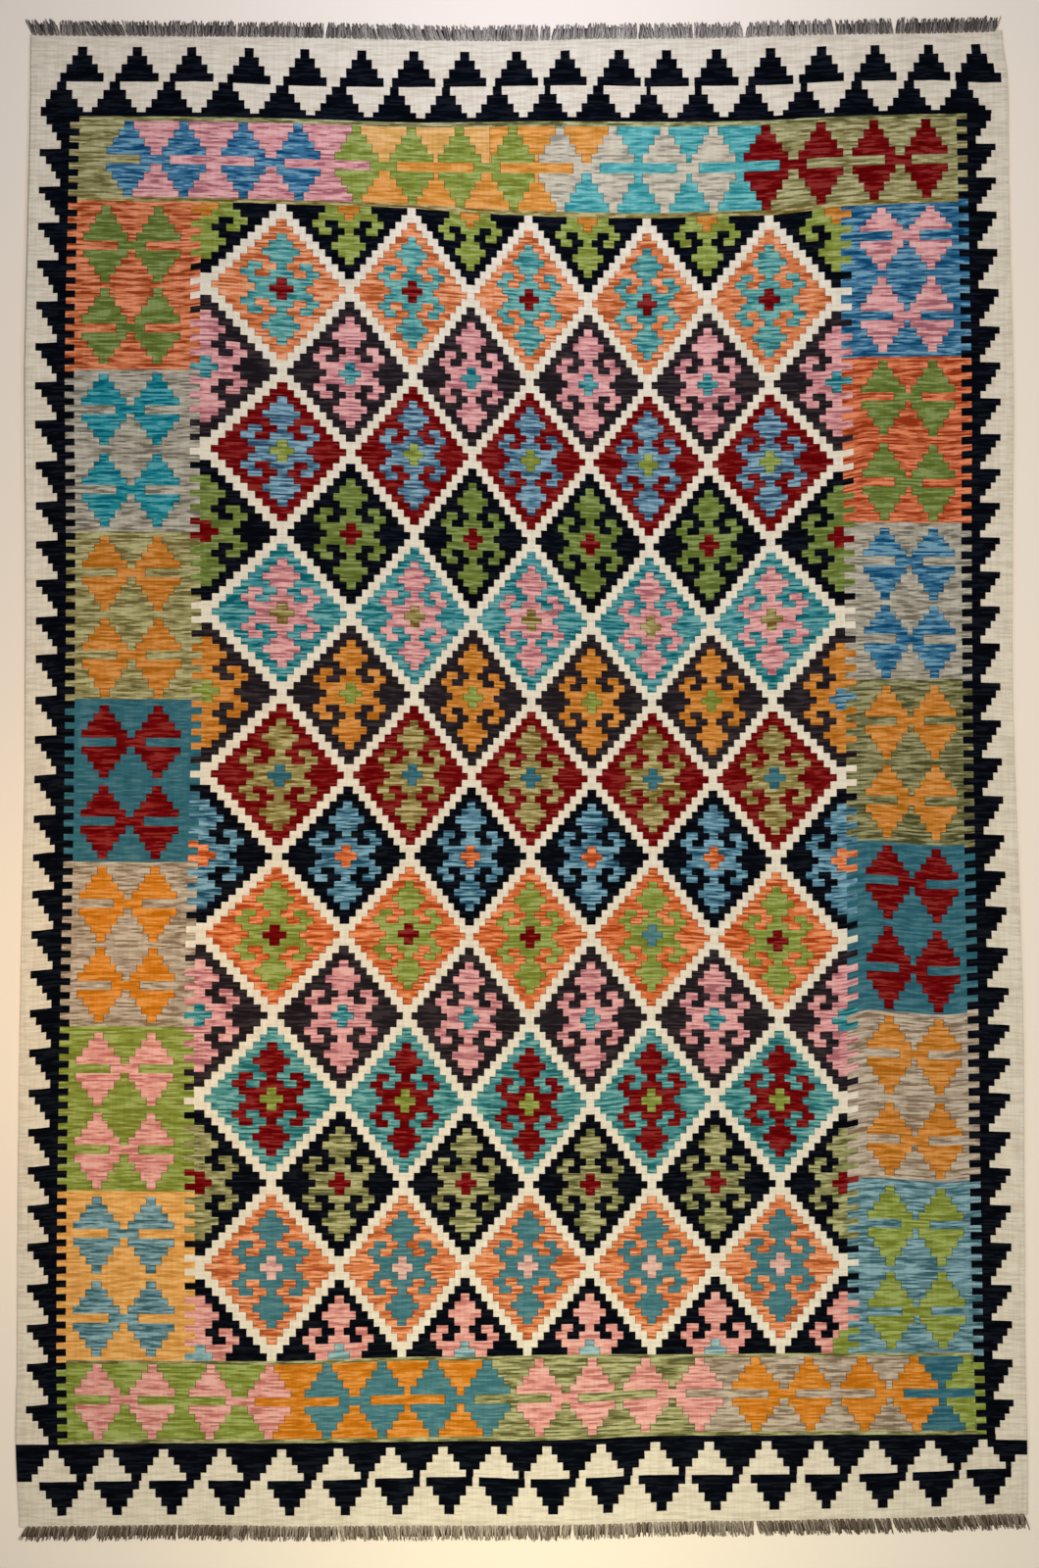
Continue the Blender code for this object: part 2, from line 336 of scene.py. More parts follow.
# The first lot of each part of the chart that has lots of its own, and how many a box takes.
LEFT_BOX_LOT, RIGHT_BOX_LOT, TOP_STRIPE_LOT, BOTTOM_STRIPE_LOT, FIELD_LOT = 100, 200, 300, 400, 1000
BOX_LOTS = 2
# How far on the lots of a stripe's bar, diamonds and edges start.
BAR_LOTS, DIAMOND_LOTS, EDGE_LOTS = 20, 40, 60
# How far on the lots of the field's offset rows start, then each row's and each diamond's.
OFFSET_LOTS, ROW_LOTS, MOTIF_LOTS = 400, 40, 3
# Each lot's streaks start at a random place of the noise, up to this far along each axis.
LOT_SPREAD = 60

# How the fringes lie, by place across the chart: their lean, their tone and their gaps.
TOP_LEANS = (
    (24, -0.5), (45, -0.3), (70, -0.1), (90, -0.65), (115, -0.4), (130, -0.1), (165, -0.2), (200, -0.05),
    (230, 0.1), (300, 0), (345, 0), (370, -0.3), (430, -0.35), (480, -0.15), (530, 0.05), (580, 0.12),
    (650, 0), (700, -0.15), (750, 0.1), (790, 0), (840, -0.12), (900, 0), (960, 0.08), (1010, 0.2),
    (1034, 0.3),
)
TOP_TONES = (
    (24, 0.12), (150, 0.1), (240, 0.22), (330, 0.25), (400, 0.42), (520, 0.52), (640, 0.55),
    (740, 0.5), (830, 0.4), (880, 0.2), (960, 0.1), (1034, 0.08),
)
TOP_GAPS = (
    (83, 9), (121, 4), (164, 3), (238, 2), (261, 3.5), (327, 4), (358, 4), (385, 4), (433, 4), (461, 3),
    (537, 3), (554, 3), (565, 3), (597, 3.5), (656, 3), (714, 3), (763, 5), (855, 9), (918, 6),
)
BOTTOM_LEANS = (
    (24, -0.5), (45, -0.3), (90, -0.25), (150, -0.3), (190, -0.2), (250, -0.2), (330, -0.05),
    (352, 0.05), (400, 0.15), (460, 0.05), (540, 0.1), (590, -0.1), (640, 0.1), (720, 0.15),
    (790, 0.3), (850, 0.3), (900, 0.35), (960, 0.4), (1000, 0.35), (1034, 0.22),
)
BOTTOM_TONES = (
    (24, 0.1), (160, 0.1), (230, 0.2), (330, 0.35), (420, 0.5), (560, 0.52), (660, 0.45), (740, 0.4),
    (800, 0.25), (880, 0.12), (1034, 0.08),
)
BOTTOM_GAPS = (
    (187, 2.5), (259, 5), (342, 4), (351, 5), (412, 6), (478, 3), (520, 4), (552, 3), (572, 4), (586, 4),
    (634, 4), (762, 8), (897, 3),
)
# Where the fringes start and stop on the chart, a little inside the corners.
TOP_SPAN = (25.0, 1028.0)
BOTTOM_SPAN = (30.0, 1031.0)

# Half widths of a stepped diamond's rows, from its point to its widest row. Then comes the bar, with
# half its height, and half its width in the boxes, where it joins two diamonds.
STEPS = (4.7, 10.4, 16.2, 22.5)
BAR_ROW = len(STEPS)
HALF_BAR = 4.6
HALF_JOIN = 14.5


def stepped_rows(top: float, bar: float, bottom: float) -> list[float]:
    """The row lines of a stepped diamond: four steps, the bar, four steps.

    Args:
        top: Its upper point.
        bar: The middle of its bar.
        bottom: Its lower point.
    Returns:
        Ten row lines.
    """
    upper, lower = bar - HALF_BAR, bar + HALF_BAR
    above = [top + (upper - top) * n / BAR_ROW for n in range(BAR_ROW + 1)]
    below = [lower + (bottom - lower) * n / BAR_ROW for n in range(BAR_ROW + 1)]
    return above + below


def diamond_row(down: float, rows: Sequence[float]) -> int | None:
    """Which step of a diamond a place down the chart falls in.

    Args:
        down: The place.
        rows: The diamond's ten row lines.
    Returns:
        0 for the point's row to 3 for the widest, 4 for the bar, or None outside it.
    """
    if not rows[0] < down < rows[-1]:
        return None
    n = bisect_right(rows, down) - 1
    return n if n <= BAR_ROW else 2 * BAR_ROW - n


@dataclass
class SideBoxes:
    """The column of coloured boxes at one side of the field, two stepped diamonds twice in each."""

    name: str
    left: float
    right: float
    centres: tuple[float, float]
    middle: float
    seams: tuple[float, ...]
    units: tuple[tuple[float, float, float], ...]
    wools: tuple[tuple[Yarn, Yarn], ...]
    first_lot: int

    def ground(self, down: float) -> Skein:
        """The ground wool of the box at a place down the chart, and its lot."""
        box = min(max(bisect_right(self.seams, down) - 1, 0), len(self.wools) - 1)
        return self.wools[box][1], self.first_lot + BOX_LOTS * box

    def wool(self, across: float, down: float) -> Skein:
        """The wool of the boxes at a place.

        Args:
            across: Place across the straight chart.
            down: Place down it.
        Returns:
            The wool and its dye lot.
        """
        ground, lot = self.ground(down)
        figure = self.wools[(lot - self.first_lot) // BOX_LOTS][0]
        for unit in self.units:
            step = diamond_row(down, stepped_rows(*unit))
            if step == BAR_ROW and abs(across - self.middle) < HALF_JOIN:
                return figure, lot + 1
            if step is not None and step < BAR_ROW:
                if any(abs(across - centre) < STEPS[step] for centre in self.centres):
                    return figure, lot + 1
        return ground, lot

    def panel(self) -> Panel:
        """Drafts the column of boxes."""
        columns = [self.left, self.right, self.middle - HALF_JOIN, self.middle + HALF_JOIN]
        columns += [c + sign * step for c in self.centres for sign in (-1, 1) for step in STEPS]
        rows = [*self.seams]
        for unit in self.units:
            rows += stepped_rows(*unit)
        return draft(self.name, columns, rows, self.wool)


@dataclass
class Stripe:
    """A border across the rug: a row of stepped diamonds on a ground that changes along it."""

    name: str
    top: float
    bottom: float
    unit: tuple[float, float, float]
    edge: tuple[Yarn, Yarn]
    diamonds: tuple[Station, ...]
    upper_ground: tuple[Station, ...]
    lower_ground: tuple[Station, ...]
    bar: tuple[Station, ...]
    first_lot: int

    def spread(self, stations: tuple[Station, ...], across: float) -> Skein:
        """The wool of a run of stations, each of which reaches up to its place.

        Args:
            stations: The places, rising, each with its wool.
            across: Place across the straight chart.
        Returns:
            The wool and its dye lot.
        """
        for n, (limit, yarn) in enumerate(stations):
            if across < limit:
                return yarn, self.first_lot + n
        return stations[-1][1], self.first_lot + len(stations)

    def wool(self, across: float, down: float) -> Skein:
        """The wool of the border at a place.

        Args:
            across: Place across the straight chart.
            down: Place down it.
        Returns:
            The wool and its dye lot.
        """
        rows = stepped_rows(*self.unit)
        step = diamond_row(down, rows)
        if step is None:
            return self.edge[0 if down < rows[0] else 1], self.first_lot + EDGE_LOTS
        if step == BAR_ROW:
            yarn, lot = self.spread(self.bar, across)
            return yarn, lot + BAR_LOTS
        for n, (centre, yarn) in enumerate(self.diamonds):
            if abs(across - centre) < STEPS[step]:
                return yarn, self.first_lot + DIAMOND_LOTS + n
        upper = down < self.unit[1]
        return self.spread(self.upper_ground if upper else self.lower_ground, across)

    def panel(self) -> Panel:
        """Drafts the border."""
        columns = [COMB_LEFT_IN, COMB_RIGHT_IN]
        columns += [c + sign * s for c, _ in self.diamonds for sign in (-1, 1) for s in STEPS]
        for stations in (self.upper_ground, self.lower_ground, self.bar):
            columns += [limit for limit, _ in stations]
        columns = [c for c in columns if COMB_LEFT_IN <= c <= COMB_RIGHT_IN]
        rows = [self.top, self.bottom, *stepped_rows(*self.unit)]
        return draft(self.name, columns, rows, self.wool)


@dataclass
class SawTeeth:
    """The black saw teeth outside one side's comb. Each has a flat top and five steps."""

    name: str
    outer: float
    inner: float
    steps: tuple[float, ...]
    tops: tuple[float, ...]

    def rows(self) -> list[float]:
        """The row lines of all the teeth, from the top line to the bottom line."""
        count = len(self.steps)
        # The first tooth is cut by the top line and lacks its flat top.
        cut = count - 1
        rows = [TOP_LINE + (self.tops[0] - TOP_LINE) * n / cut for n in range(cut)]
        for top, following in zip(self.tops, [*self.tops[1:], BOTTOM_LINE]):
            rows += [top + (following - top) * n / count for n in range(count)]
        return [*rows, BOTTOM_LINE]

    def panel(self) -> Panel:
        """Drafts the teeth and the black band beside the comb."""
        rows = self.rows()
        side = 1 if self.inner > self.outer else -1

        def wool(across: float, down: float) -> Skein:
            """The wool and lot at a place."""
            step = self.steps[bisect_right(rows, down) % len(self.steps)]
            return BLACK if (across - step) * side > 0 else PLAIN

        return draft(self.name, [self.outer, self.inner, *self.steps], rows, wool)


@dataclass
class Comb:
    """The fine comb of black teeth between the saw teeth and the boxes."""

    name: str
    left: float
    right: float
    gaps: tuple[float, ...]
    half_gap: float
    ground: Callable[[float], Skein]

    def panel(self) -> Panel:
        """Drafts the comb, with the boxes' wool run into its gaps."""
        rows = [TOP_LINE, BOTTOM_LINE]
        rows += [gap + sign * self.half_gap for gap in self.gaps for sign in (-1, 1)]
        rows = [r for r in rows if TOP_LINE <= r <= BOTTOM_LINE]

        def wool(across: float, down: float) -> Skein:
            """The wool and lot at a place."""
            if any(abs(down - gap) < self.half_gap for gap in self.gaps):
                return self.ground(down)
            return BLACK

        return draft(self.name, [self.left, self.right], rows, wool)


# A quarter of the field's diamond, from its middle outwards: c is the middle's wool, # the motif's
# and . the ground's.
QUARTER = (
    "cc##......",
    "c####.....",
    "##..##....",
    "#..##.....",
    "##........",
    "###.......",
    "##........",
    "#.........",
    "..........",
    "..........",
)
# Diamonds with a middle in another wool, and the last half diamond with its green piece. Each is given
# by its kind of row (0 full, 1 offset), its row and its place in it.
ODD_MIDDLES = {(0, 4, 3): Yarn.PETROL, (1, 3, 4): Yarn.RIVER}
GREEN_DIAMOND = (1, 7, 4)
GREEN_CELLS = ((0, 0), (0, 1), (0, 2), (1, 0), (1, 1))


@dataclass
class DiamondField:
    """The field: rows of stepped diamonds in an ivory lattice, charted as one quarter and repeated."""

    # The lattice's own columns are this much wider than the rest.
    wide: float = 1.5
    # How many columns and rows together a diamond's edge is from its middle.
    reach: int = 9
    # Half the distance from one diamond to the next, in columns and rows, which is also how far the
    # offset rows are shifted.
    half_across: int = 10
    half_down: int = 11
    first_column: int = -10
    last_column: int = 90
    first_row: int = -11
    last_row: int = 143
    # Places across the chart of the diamonds' middles and the field's sides, and down it.
    across_anchors: tuple[float, ...] = (
        201, 283, 352.6, 417, 478.5, 540, 602, 664, 725.3, 788, 861,
    )
    down_anchors: tuple[float, ...] = (
        205, 292, 373, 457, 541.3, 624, 704.4, 788.7, 872.4, 952.5, 1034.7, 1120.5, 1205.8, 1292.5,
        1388,
    )
    full_rows: tuple[tuple[Yarn, Yarn, Yarn], ...] = (
        (Yarn.ORANGE, Yarn.LAGOON, Yarn.RED),
        (Yarn.RED, Yarn.SKY, Yarn.LEAF),
        (Yarn.BAY, Yarn.PINK, Yarn.OLIVE),
        (Yarn.RED, Yarn.OLIVE, Yarn.TEAL),
        (Yarn.EMBER, Yarn.LEAF, Yarn.RED),
        (Yarn.SEA, Yarn.RED, Yarn.LEAF),
        (Yarn.ORANGE, Yarn.PETROL, Yarn.BLUSH),
    )
    offset_rows: tuple[tuple[Yarn, Yarn, Yarn], ...] = (
        (Yarn.NAVY, Yarn.LEAF, Yarn.GOLD),
        (Yarn.CHARCOAL, Yarn.PINK, Yarn.BAY),
        (Yarn.NAVY, Yarn.GREEN, Yarn.RED),
        (Yarn.CHARCOAL, Yarn.GOLD, Yarn.LEAF),
        (Yarn.NAVY, Yarn.RIVER, Yarn.EMBER),
        (Yarn.CHARCOAL, Yarn.PINK, Yarn.BAY),
        (Yarn.NAVY, Yarn.FERN, Yarn.RED),
        (Yarn.NAVY, Yarn.ROSE, Yarn.MIST),
    )

    def column_lines(self) -> list[float]:
        """The lines between the field's columns. Each tenth column is half as wide again."""
        lines = [self.across_anchors[0]]
        middles = len(self.across_anchors) - 1
        for n in range(middles):
            start, stop = self.across_anchors[n], self.across_anchors[n + 1]
            first = self.wide if n == 0 else self.wide / 2
            last = self.wide if n == middles - 1 else self.wide / 2
            pitch = (stop - start) / (first + last + self.half_across - 1)
            place = start + pitch * first
            lines += [place + pitch * k for k in range(self.half_across)]
        return [*lines, self.across_anchors[-1]]

    def row_lines(self) -> list[float]:
        """The lines between the field's rows."""
        marks = [self.first_row, *range(0, self.last_row, self.half_down), self.last_row + 1]
        middles = [marks[0], *(mark + 0.5 for mark in marks[1:-1]), marks[-1]]
        lines = []
        for row in range(self.first_row, self.last_row + 2):
            i = min(max(bisect_right(middles, row) - 1, 0), len(middles) - 2)
            share = (row - middles[i]) / (middles[i + 1] - middles[i])
            start, stop = self.down_anchors[i], self.down_anchors[i + 1]
            lines.append(start + (stop - start) * share)
        return lines

    def yarn_at(self, column: int, row: int) -> Skein:
        """The wool and lot of a cell of the field.

        Args:
            column: Its column, 0 at the middle of the first full diamond.
            row: Its row, 0 at the middle of the first full diamond.
        Returns:
            The wool and the dye lot.
        """
        for offset, rows in enumerate((self.full_rows, self.offset_rows)):
            right = column - self.half_across * offset
            down = row - self.half_down * offset
            n = round(right / (2 * self.half_across))
            m = round(down / (2 * self.half_down))
            away = abs(right - n * 2 * self.half_across)
            below = abs(down - m * 2 * self.half_down)
            if away + below > self.reach:
                continue
            kind = m + offset
            ground, motif, middle = rows[kind]
            middle = ODD_MIDDLES.get((offset, kind, n), middle)
            lot = FIELD_LOT + OFFSET_LOTS * offset + ROW_LOTS * kind + MOTIF_LOTS * (n + 1)
            if (offset, kind, n) == GREEN_DIAMOND and (away, below) in GREEN_CELLS:
                return Yarn.LEAF, lot + 2
            yarn, step = {"c": (middle, 2), "#": (motif, 1), ".": (ground, 0)}[QUARTER[below][away]]
            return yarn, lot + step
        return LATTICE

    def panel(self) -> Panel:
        """Drafts the field."""
        columns, rows = self.column_lines(), self.row_lines()

        def wool(across: float, down: float) -> Skein:
            """The wool and lot at a place."""
            column = bisect_right(columns, across) - 1 + self.first_column
            row = bisect_right(rows, down) - 1 + self.first_row
            return self.yarn_at(column, row)

        return draft("field", columns, rows, wool)

    def edge_wool(self, column: int, down: float) -> Skein:
        """The wool and lot of one of the field's columns at a place down the chart."""
        return self.yarn_at(column, bisect_right(self.row_lines(), down) - 1 + self.first_row)


def spaced(marks: Sequence[tuple[int, float]]) -> list[float]:
    """Places evenly spaced marks between the few that are known.

    Args:
        marks: The known marks, each with its number and its place.
    Returns:
        The place of each mark.
    """
    places = []
    for (first, start), (last, stop) in zip(marks, marks[1:]):
        places += [start + (stop - start) * n / (last - first) for n in range(last - first)]
    return [*places, marks[-1][1]]


@dataclass
class Dovetail:
    """The column where the field and the boxes beside it are woven into each other, tooth by tooth."""

    name: str
    left: float
    right: float
    beside: int
    teeth: Sequence[float]
    half_tooth: float = 3.4

    def panel(self, weave: DiamondField, boxes: SideBoxes) -> Panel:
        """Drafts the column.

        Args:
            weave: The field, which its teeth are part of.
            boxes: The boxes, whose wool fills the gaps.
        Returns:
            The panel.
        """
        rows = [*boxes.seams]
        rows += [tooth + sign * self.half_tooth for tooth in self.teeth for sign in (-1, 1)]
        rows = [r for r in rows if FIELD_TOP <= r <= FIELD_BOTTOM]

        def wool(across: float, down: float) -> Skein:
            """The wool and lot at a place."""
            for tooth in self.teeth:
                if abs(down - tooth) < self.half_tooth:
                    return weave.edge_wool(self.beside, tooth)
            return boxes.ground(down)

        return draft(self.name, [self.left, self.right], rows, wool)


@dataclass
class TriangleBand:
    """The ivory end of the rug with its black triangles, from one selvedge to the other."""

    name: str
    rows: tuple[float, ...]
    black: tuple[tuple[tuple[float, float], ...], ...]

    def panel(self) -> Panel:
        """Drafts the band."""
        columns = [LEFT_EDGE, RIGHT_EDGE]
        for runs in self.black:
            columns += [place for run in runs for place in run]

        def wool(across: float, down: float) -> Skein:
            """The wool and lot at a place."""
            runs = self.black[bisect_right(self.rows, down) - 1]
            inside = any(start < across < stop for start, stop in runs)
            return BLACK if inside else PLAIN

        return draft(self.name, columns, self.rows, wool)


def between(limits: Point, holes: Iterable[Point]) -> tuple[Point, ...]:
    """The runs of black that ivory holes leave between two limits.

    Args:
        limits: Where the black starts and stops.
        holes: Where the ivory starts and stops, from left to right.
    Returns:
        The runs of black.
    """
    runs, start = [], limits[0]
    for left, right in holes:
        if left > start:
            runs.append((start, left))
        start = max(start, right)
    if start < limits[1]:
        runs.append((start, limits[1]))
    return tuple(runs)


@dataclass
class Pattern:
    """The whole chart: all the panels, with each mark's place brought back to the straight loom."""

    loom: Loom
    top_points: tuple[float, ...] = (
        84, 140, 195.6, 254, 311, 369, 422, 474, 527, 576.5, 631.5, 680, 731, 786, 838, 893, 947.5, 997,
    )
    bottom_points: tuple[float, ...] = (
        55, 111, 166.9, 226.4, 287.4, 345.3, 398.5, 452, 506, 558, 613.4, 668.4, 723.5, 782, 835, 892,
        949.3, 1003.3,
    )
    top_hangers: tuple[float, ...] = (
        89.6, 144.4, 200.8, 259.6, 316.6, 375.8, 428.9, 480.9, 533.9, 583.3, 637.7, 686.4, 738.3, 793.8,
        846.3, 900.9, 954.1,
    )
    bottom_hangers: tuple[float, ...] = (
        63, 119.2, 175.1, 234.3, 295.4, 352.3, 405.3, 458.4, 512, 564.3, 620.4, 675, 730, 790, 843, 900.6,
        955, 1009.6,
    )
    # Down the floor: the flat tops of the saw teeth.
    left_saw: tuple[float, ...] = (
        152.1, 190.4, 227.3, 265.6, 307.6, 349.8, 389.7, 428.9, 470.7, 511.9, 551.7, 591.3, 629.3,
        667.9, 710.1, 750.4, 790.6, 831.4, 870.4, 907.9, 948.6, 989.3, 1028.9, 1069.2, 1110.4,
        1150.4, 1189, 1228.2, 1267.4, 1309.7, 1350.4, 1390.3, 1433.1,
    )
    right_saw: tuple[float, ...] = (
        146.5, 181, 215.7, 253.9, 294.6, 333.1, 369.6, 406.4, 442.9, 478.6, 512.9, 548.3, 583.2,
        618.6, 656.5, 696.7, 734.7, 773.3, 812.1, 851.5, 888.6, 924.6, 966.4, 1007.1, 1045,
        1079.3, 1115.3, 1154.3, 1191.4, 1229.3, 1267.9, 1310.8, 1347.2, 1386.4, 1427.8,
    )
    # Down the floor: some of the combs' gaps and of the dovetails' teeth, each with its number.
    left_comb: tuple[tuple[int, float], ...] = (
        (0, 128), (16, 348), (32, 568), (48, 798), (72, 1135), (96, 1471),
    )
    right_comb: tuple[tuple[int, float], ...] = (
        (0, 118), (16, 354), (40, 706), (56, 931), (80, 1283), (93, 1463),
    )
    left_dovetail: tuple[tuple[int, float], ...] = (
        (0, 213.7), (17, 460.1), (47, 890), (73, 1269.4), (81, 1384.3),
    )
    right_dovetail: tuple[tuple[int, float], ...] = (
        (0, 217.9), (3, 264.9), (7, 329.3), (16, 462.1), (49, 945), (56, 1047.4), (69, 1232.8),
        (79, 1372.2),
    )

    def across(self, x: float, down: float) -> float:
        """A place across the straight chart, from one on the floor at a height of the chart."""
        return self.loom.straighten(x, down + self.loom.eased(x, down)[1] - down)[0]

    def down(self, x: float, y: float) -> float:
        """A place down the straight chart, from one on the floor."""
        return self.loom.straighten(x, y)[1]

    def stations(self, known: Iterable[Station], down: float) -> tuple[Station, ...]:
        """Straightens places across the floor at a height of the chart, each with its wool."""
        return tuple((self.across(x, down), yarn) for x, yarn in known)

    def marks(self, x: float, known: Iterable[float]) -> tuple[float, ...]:
        """Straightens places down the floor that stand at a place across it."""
        return tuple(self.down(x, y) for y in known)

    def left_boxes(self) -> SideBoxes:
        """The boxes left of the field."""
        return SideBoxes(
            name="boxes_left",
            left=COMB_LEFT_IN,
            right=FIELD_LEFT_OUT,
            centres=(104.6, 158.0),
            middle=131.2,
            seams=(FIELD_TOP, 377, 542, 713, 879.5, 1047, 1215, FIELD_BOTTOM),
            units=(
                (210, 250.5, 288), (294, 334.5, 371), (381, 418, 454), (463, 499.5, 537.5),
                (547, 584, 623), (631, 668, 711), (719.5, 757, 793.5), (801.5, 838, 876.5),
                (884, 922, 961.5), (967, 1005.5, 1043), (1053.5, 1090.5, 1128),
                (1136, 1173, 1213), (1221, 1258.5, 1299.5), (1307, 1345, 1384),
            ),
            wools=(
                (Yarn.GREEN, Yarn.RUST), (Yarn.TURQUOISE, Yarn.GREY), (Yarn.GOLD, Yarn.SAGE),
                (Yarn.RED, Yarn.TEAL), (Yarn.AMBER, Yarn.STONE), (Yarn.ROSE, Yarn.LEAF),
                (Yarn.PALE_BLUE, Yarn.TAN),
            ),
            first_lot=LEFT_BOX_LOT,
        )

    def right_boxes(self) -> SideBoxes:
        """The boxes right of the field. Their marks stand at one place across the floor."""
        x = 925
        seams = (364, 533, 693, 860.5, 1033, 1204)
        units = (
            (211, 240, 275), (282, 322, 359), (367.8, 404.8, 444.4), (453.3, 492.3, 531.5),
            (539, 572.5, 612.5), (618, 652, 692), (700, 735.3, 774.7), (780.6, 817, 855.6),
            (864, 900, 939.5), (947, 988.6, 1031), (1037.7, 1075.4, 1116.8), (1125, 1163, 1201),
            (1211, 1249, 1291.5), (1298, 1338, 1376),
        )
        return SideBoxes(
            name="boxes_right",
            left=FIELD_RIGHT_OUT,
            right=COMB_RIGHT_IN,
            centres=(903.6, 954.6),
            middle=929.0,
            seams=(FIELD_TOP, *self.marks(x, seams), FIELD_BOTTOM),
            units=tuple(self.marks(x, unit) for unit in units),
            wools=(
                (Yarn.PINK, Yarn.BLUE), (Yarn.GREEN, Yarn.BRICK), (Yarn.BLUE, Yarn.GREY),
                (Yarn.GOLD, Yarn.MOSS), (Yarn.RED, Yarn.TEAL), (Yarn.GOLD, Yarn.STONE),
                (Yarn.LEAF, Yarn.PALE_BLUE),
            ),
            first_lot=RIGHT_BOX_LOT,
        )

    def top_stripe(self) -> Stripe:
        """The border above the field."""
        middle = 161.5
        groups = (
            (Yarn.BLUE, (131, 187.5, 248.2, 304.5)),
            (Yarn.LEAF, (364, 420.2, 469, 523.5)),
            (Yarn.SILVER, (571.5, 625.3, 678, 728)),
            (Yarn.RED, (781.5, 837.5, 891.5, 945)),
        )
        bar = (
            (143, Yarn.SAGE), (173, Yarn.BLUE), (259.5, Yarn.PINK), (290, Yarn.BLUE),
            (377.5, Yarn.PINK), (404.5, Yarn.LEAF), (483, Yarn.MARIGOLD), (510.5, Yarn.LEAF),
            (585, Yarn.MARIGOLD), (612, Yarn.SILVER), (690, Yarn.SHALLOWS), (713, Yarn.SILVER),
            (795.5, Yarn.SHALLOWS), (823, Yarn.RED), (903, Yarn.SAGE), (930, Yarn.RED),
            (1010, Yarn.SAGE),
        )
        upper = (
            (131, Yarn.SAGE), (364, Yarn.PINK), (500, Yarn.HONEY), (627, Yarn.MARIGOLD),
            (781.5, Yarn.SHALLOWS), (1010, Yarn.SAGE),
        )
        lower = (
            (131, Yarn.SAGE), (364, Yarn.PINK), (571.5, Yarn.MARIGOLD), (781.5, Yarn.SHALLOWS),
            (1010, Yarn.SAGE),
        )
        return Stripe(
            name="stripe_top",
            top=TOP_LINE,
            bottom=FIELD_TOP,
            unit=(123, middle, 200.5),
            edge=(Yarn.FERN, Yarn.OLIVE),
            diamonds=self.stations(((x, yarn) for yarn, places in groups for x in places), middle),
            upper_ground=self.stations(upper, middle),
            lower_ground=self.stations(lower, middle),
            bar=self.stations(bar, middle),
            first_lot=TOP_STRIPE_LOT,
        )

    def bottom_stripe(self) -> Stripe:
        """The border below the field."""
        middle = 1428.5
        groups = (
            (Yarn.ROSE, (99.5, 155.3, 214.6, 274.3)),
            (Yarn.PETROL, (333.6, 389.8, 442.4, 497.2)),
            (Yarn.ROSE, (550.2, 604.2, 658.7, 713.6)),
            (Yarn.AMBER, (771.2, 826, 880.8, 934.2)),
            (Yarn.LEAF, (988.5,)),
        )
        bar = (
            (112, Yarn.LEAF), (141, Yarn.ROSE), (230, Yarn.LEAF), (260, Yarn.ROSE),
            (346, Yarn.AMBER), (378, Yarn.PETROL), (454, Yarn.AMBER), (484, Yarn.PETROL),
            (562, Yarn.FERN), (590, Yarn.ROSE), (670, Yarn.FERN), (700, Yarn.ROSE),
            (784, Yarn.STONE), (812, Yarn.AMBER), (893, Yarn.STONE), (922, Yarn.AMBER),
            (1010, Yarn.TEAL),
        )
        ground = (
            (276, Yarn.LEAF), (497.5, Yarn.AMBER), (715, Yarn.FERN), (933.7, Yarn.STONE),
            (990, Yarn.TEAL), (1010, Yarn.GREEN),
        )
        return Stripe(
            name="stripe_bottom",
            top=FIELD_BOTTOM,
            bottom=BOTTOM_LINE,
            unit=(1391.5, middle, 1468.5),
            edge=(Yarn.FERN, Yarn.FERN),
            diamonds=self.stations(((x, yarn) for yarn, places in groups for x in places), middle),
            upper_ground=self.stations(ground, middle),
            lower_ground=self.stations(ground, middle),
            bar=self.stations(bar, middle),
            first_lot=BOTTOM_STRIPE_LOT,
        )

    def top_band(self) -> TriangleBand:
        """The end above the top border."""
        rows = (TOP_END, 48, 56.6, 65.2, 73.9, 82.5, 91, 100.3, 108.8, 114, TOP_LINE)
        # Heights of the chart at which the triangles and the ends of the black stand.
        points_down, hangers_down, limits_down = 66, 96, 100
        points = [self.across(x, points_down) for x in self.top_points]
        hangers = [self.across(x, hangers_down) for x in self.top_hangers]
        limits = ((58, 988), (51.5, 993), (47, 998.5), (42, 1005), (42, 1011))
        limits = [tuple(self.across(x, limits_down) for x in pair) for pair in limits]
        black = [()]
        black += [tuple((p - half, p + half) for p in points) for half in STEPS]
        for pair, half in zip(limits, (*reversed(STEPS), 0)):
            black.append(between(pair, [(h - half, h + half) for h in hangers if half]))
        return TriangleBand("band_top", rows, tuple(black))

    def bottom_band(self) -> TriangleBand:
        """The end below the bottom border."""
        rows = (BOTTOM_LINE, 1479, 1487.2, 1495.3, 1503.3, 1511, 1520, 1529, 1538, 1546.8, BOTTOM_END)
        # Heights of the chart at which the triangles stand, then where each row's black ends.
        points_down, hangers_down = 1495, 1528
        points = [self.across(x, points_down) for x in self.bottom_points]
        hangers = [self.across(x, hangers_down) for x in self.bottom_hangers]
        right = (1003, RIGHT_EDGE, RIGHT_EDGE, self.across(1035.5, 1500), self.across(1031.5, 1507))
        black = [((LEFT_EDGE, right[0]),)]
        for limit, half in zip(right[1:], STEPS):
            black.append(between((LEFT_EDGE, limit), [(p - half, p + half) for p in points]))
        black += [tuple((h - half, h + half) for h in hangers) for half in reversed(STEPS)]
        black.append(())
        return TriangleBand("band_bottom", rows, tuple(black))

    def panels(self) -> list[Panel]:
        """Drafts every panel of the chart."""
        left, right = self.left_boxes(), self.right_boxes()
        top, bottom = self.top_stripe(), self.bottom_stripe()
        weave = DiamondField()

        def beside(boxes: SideBoxes, across: float) -> Callable[[float], Skein]:
            """Gives the ground wool at each height beside a comb."""

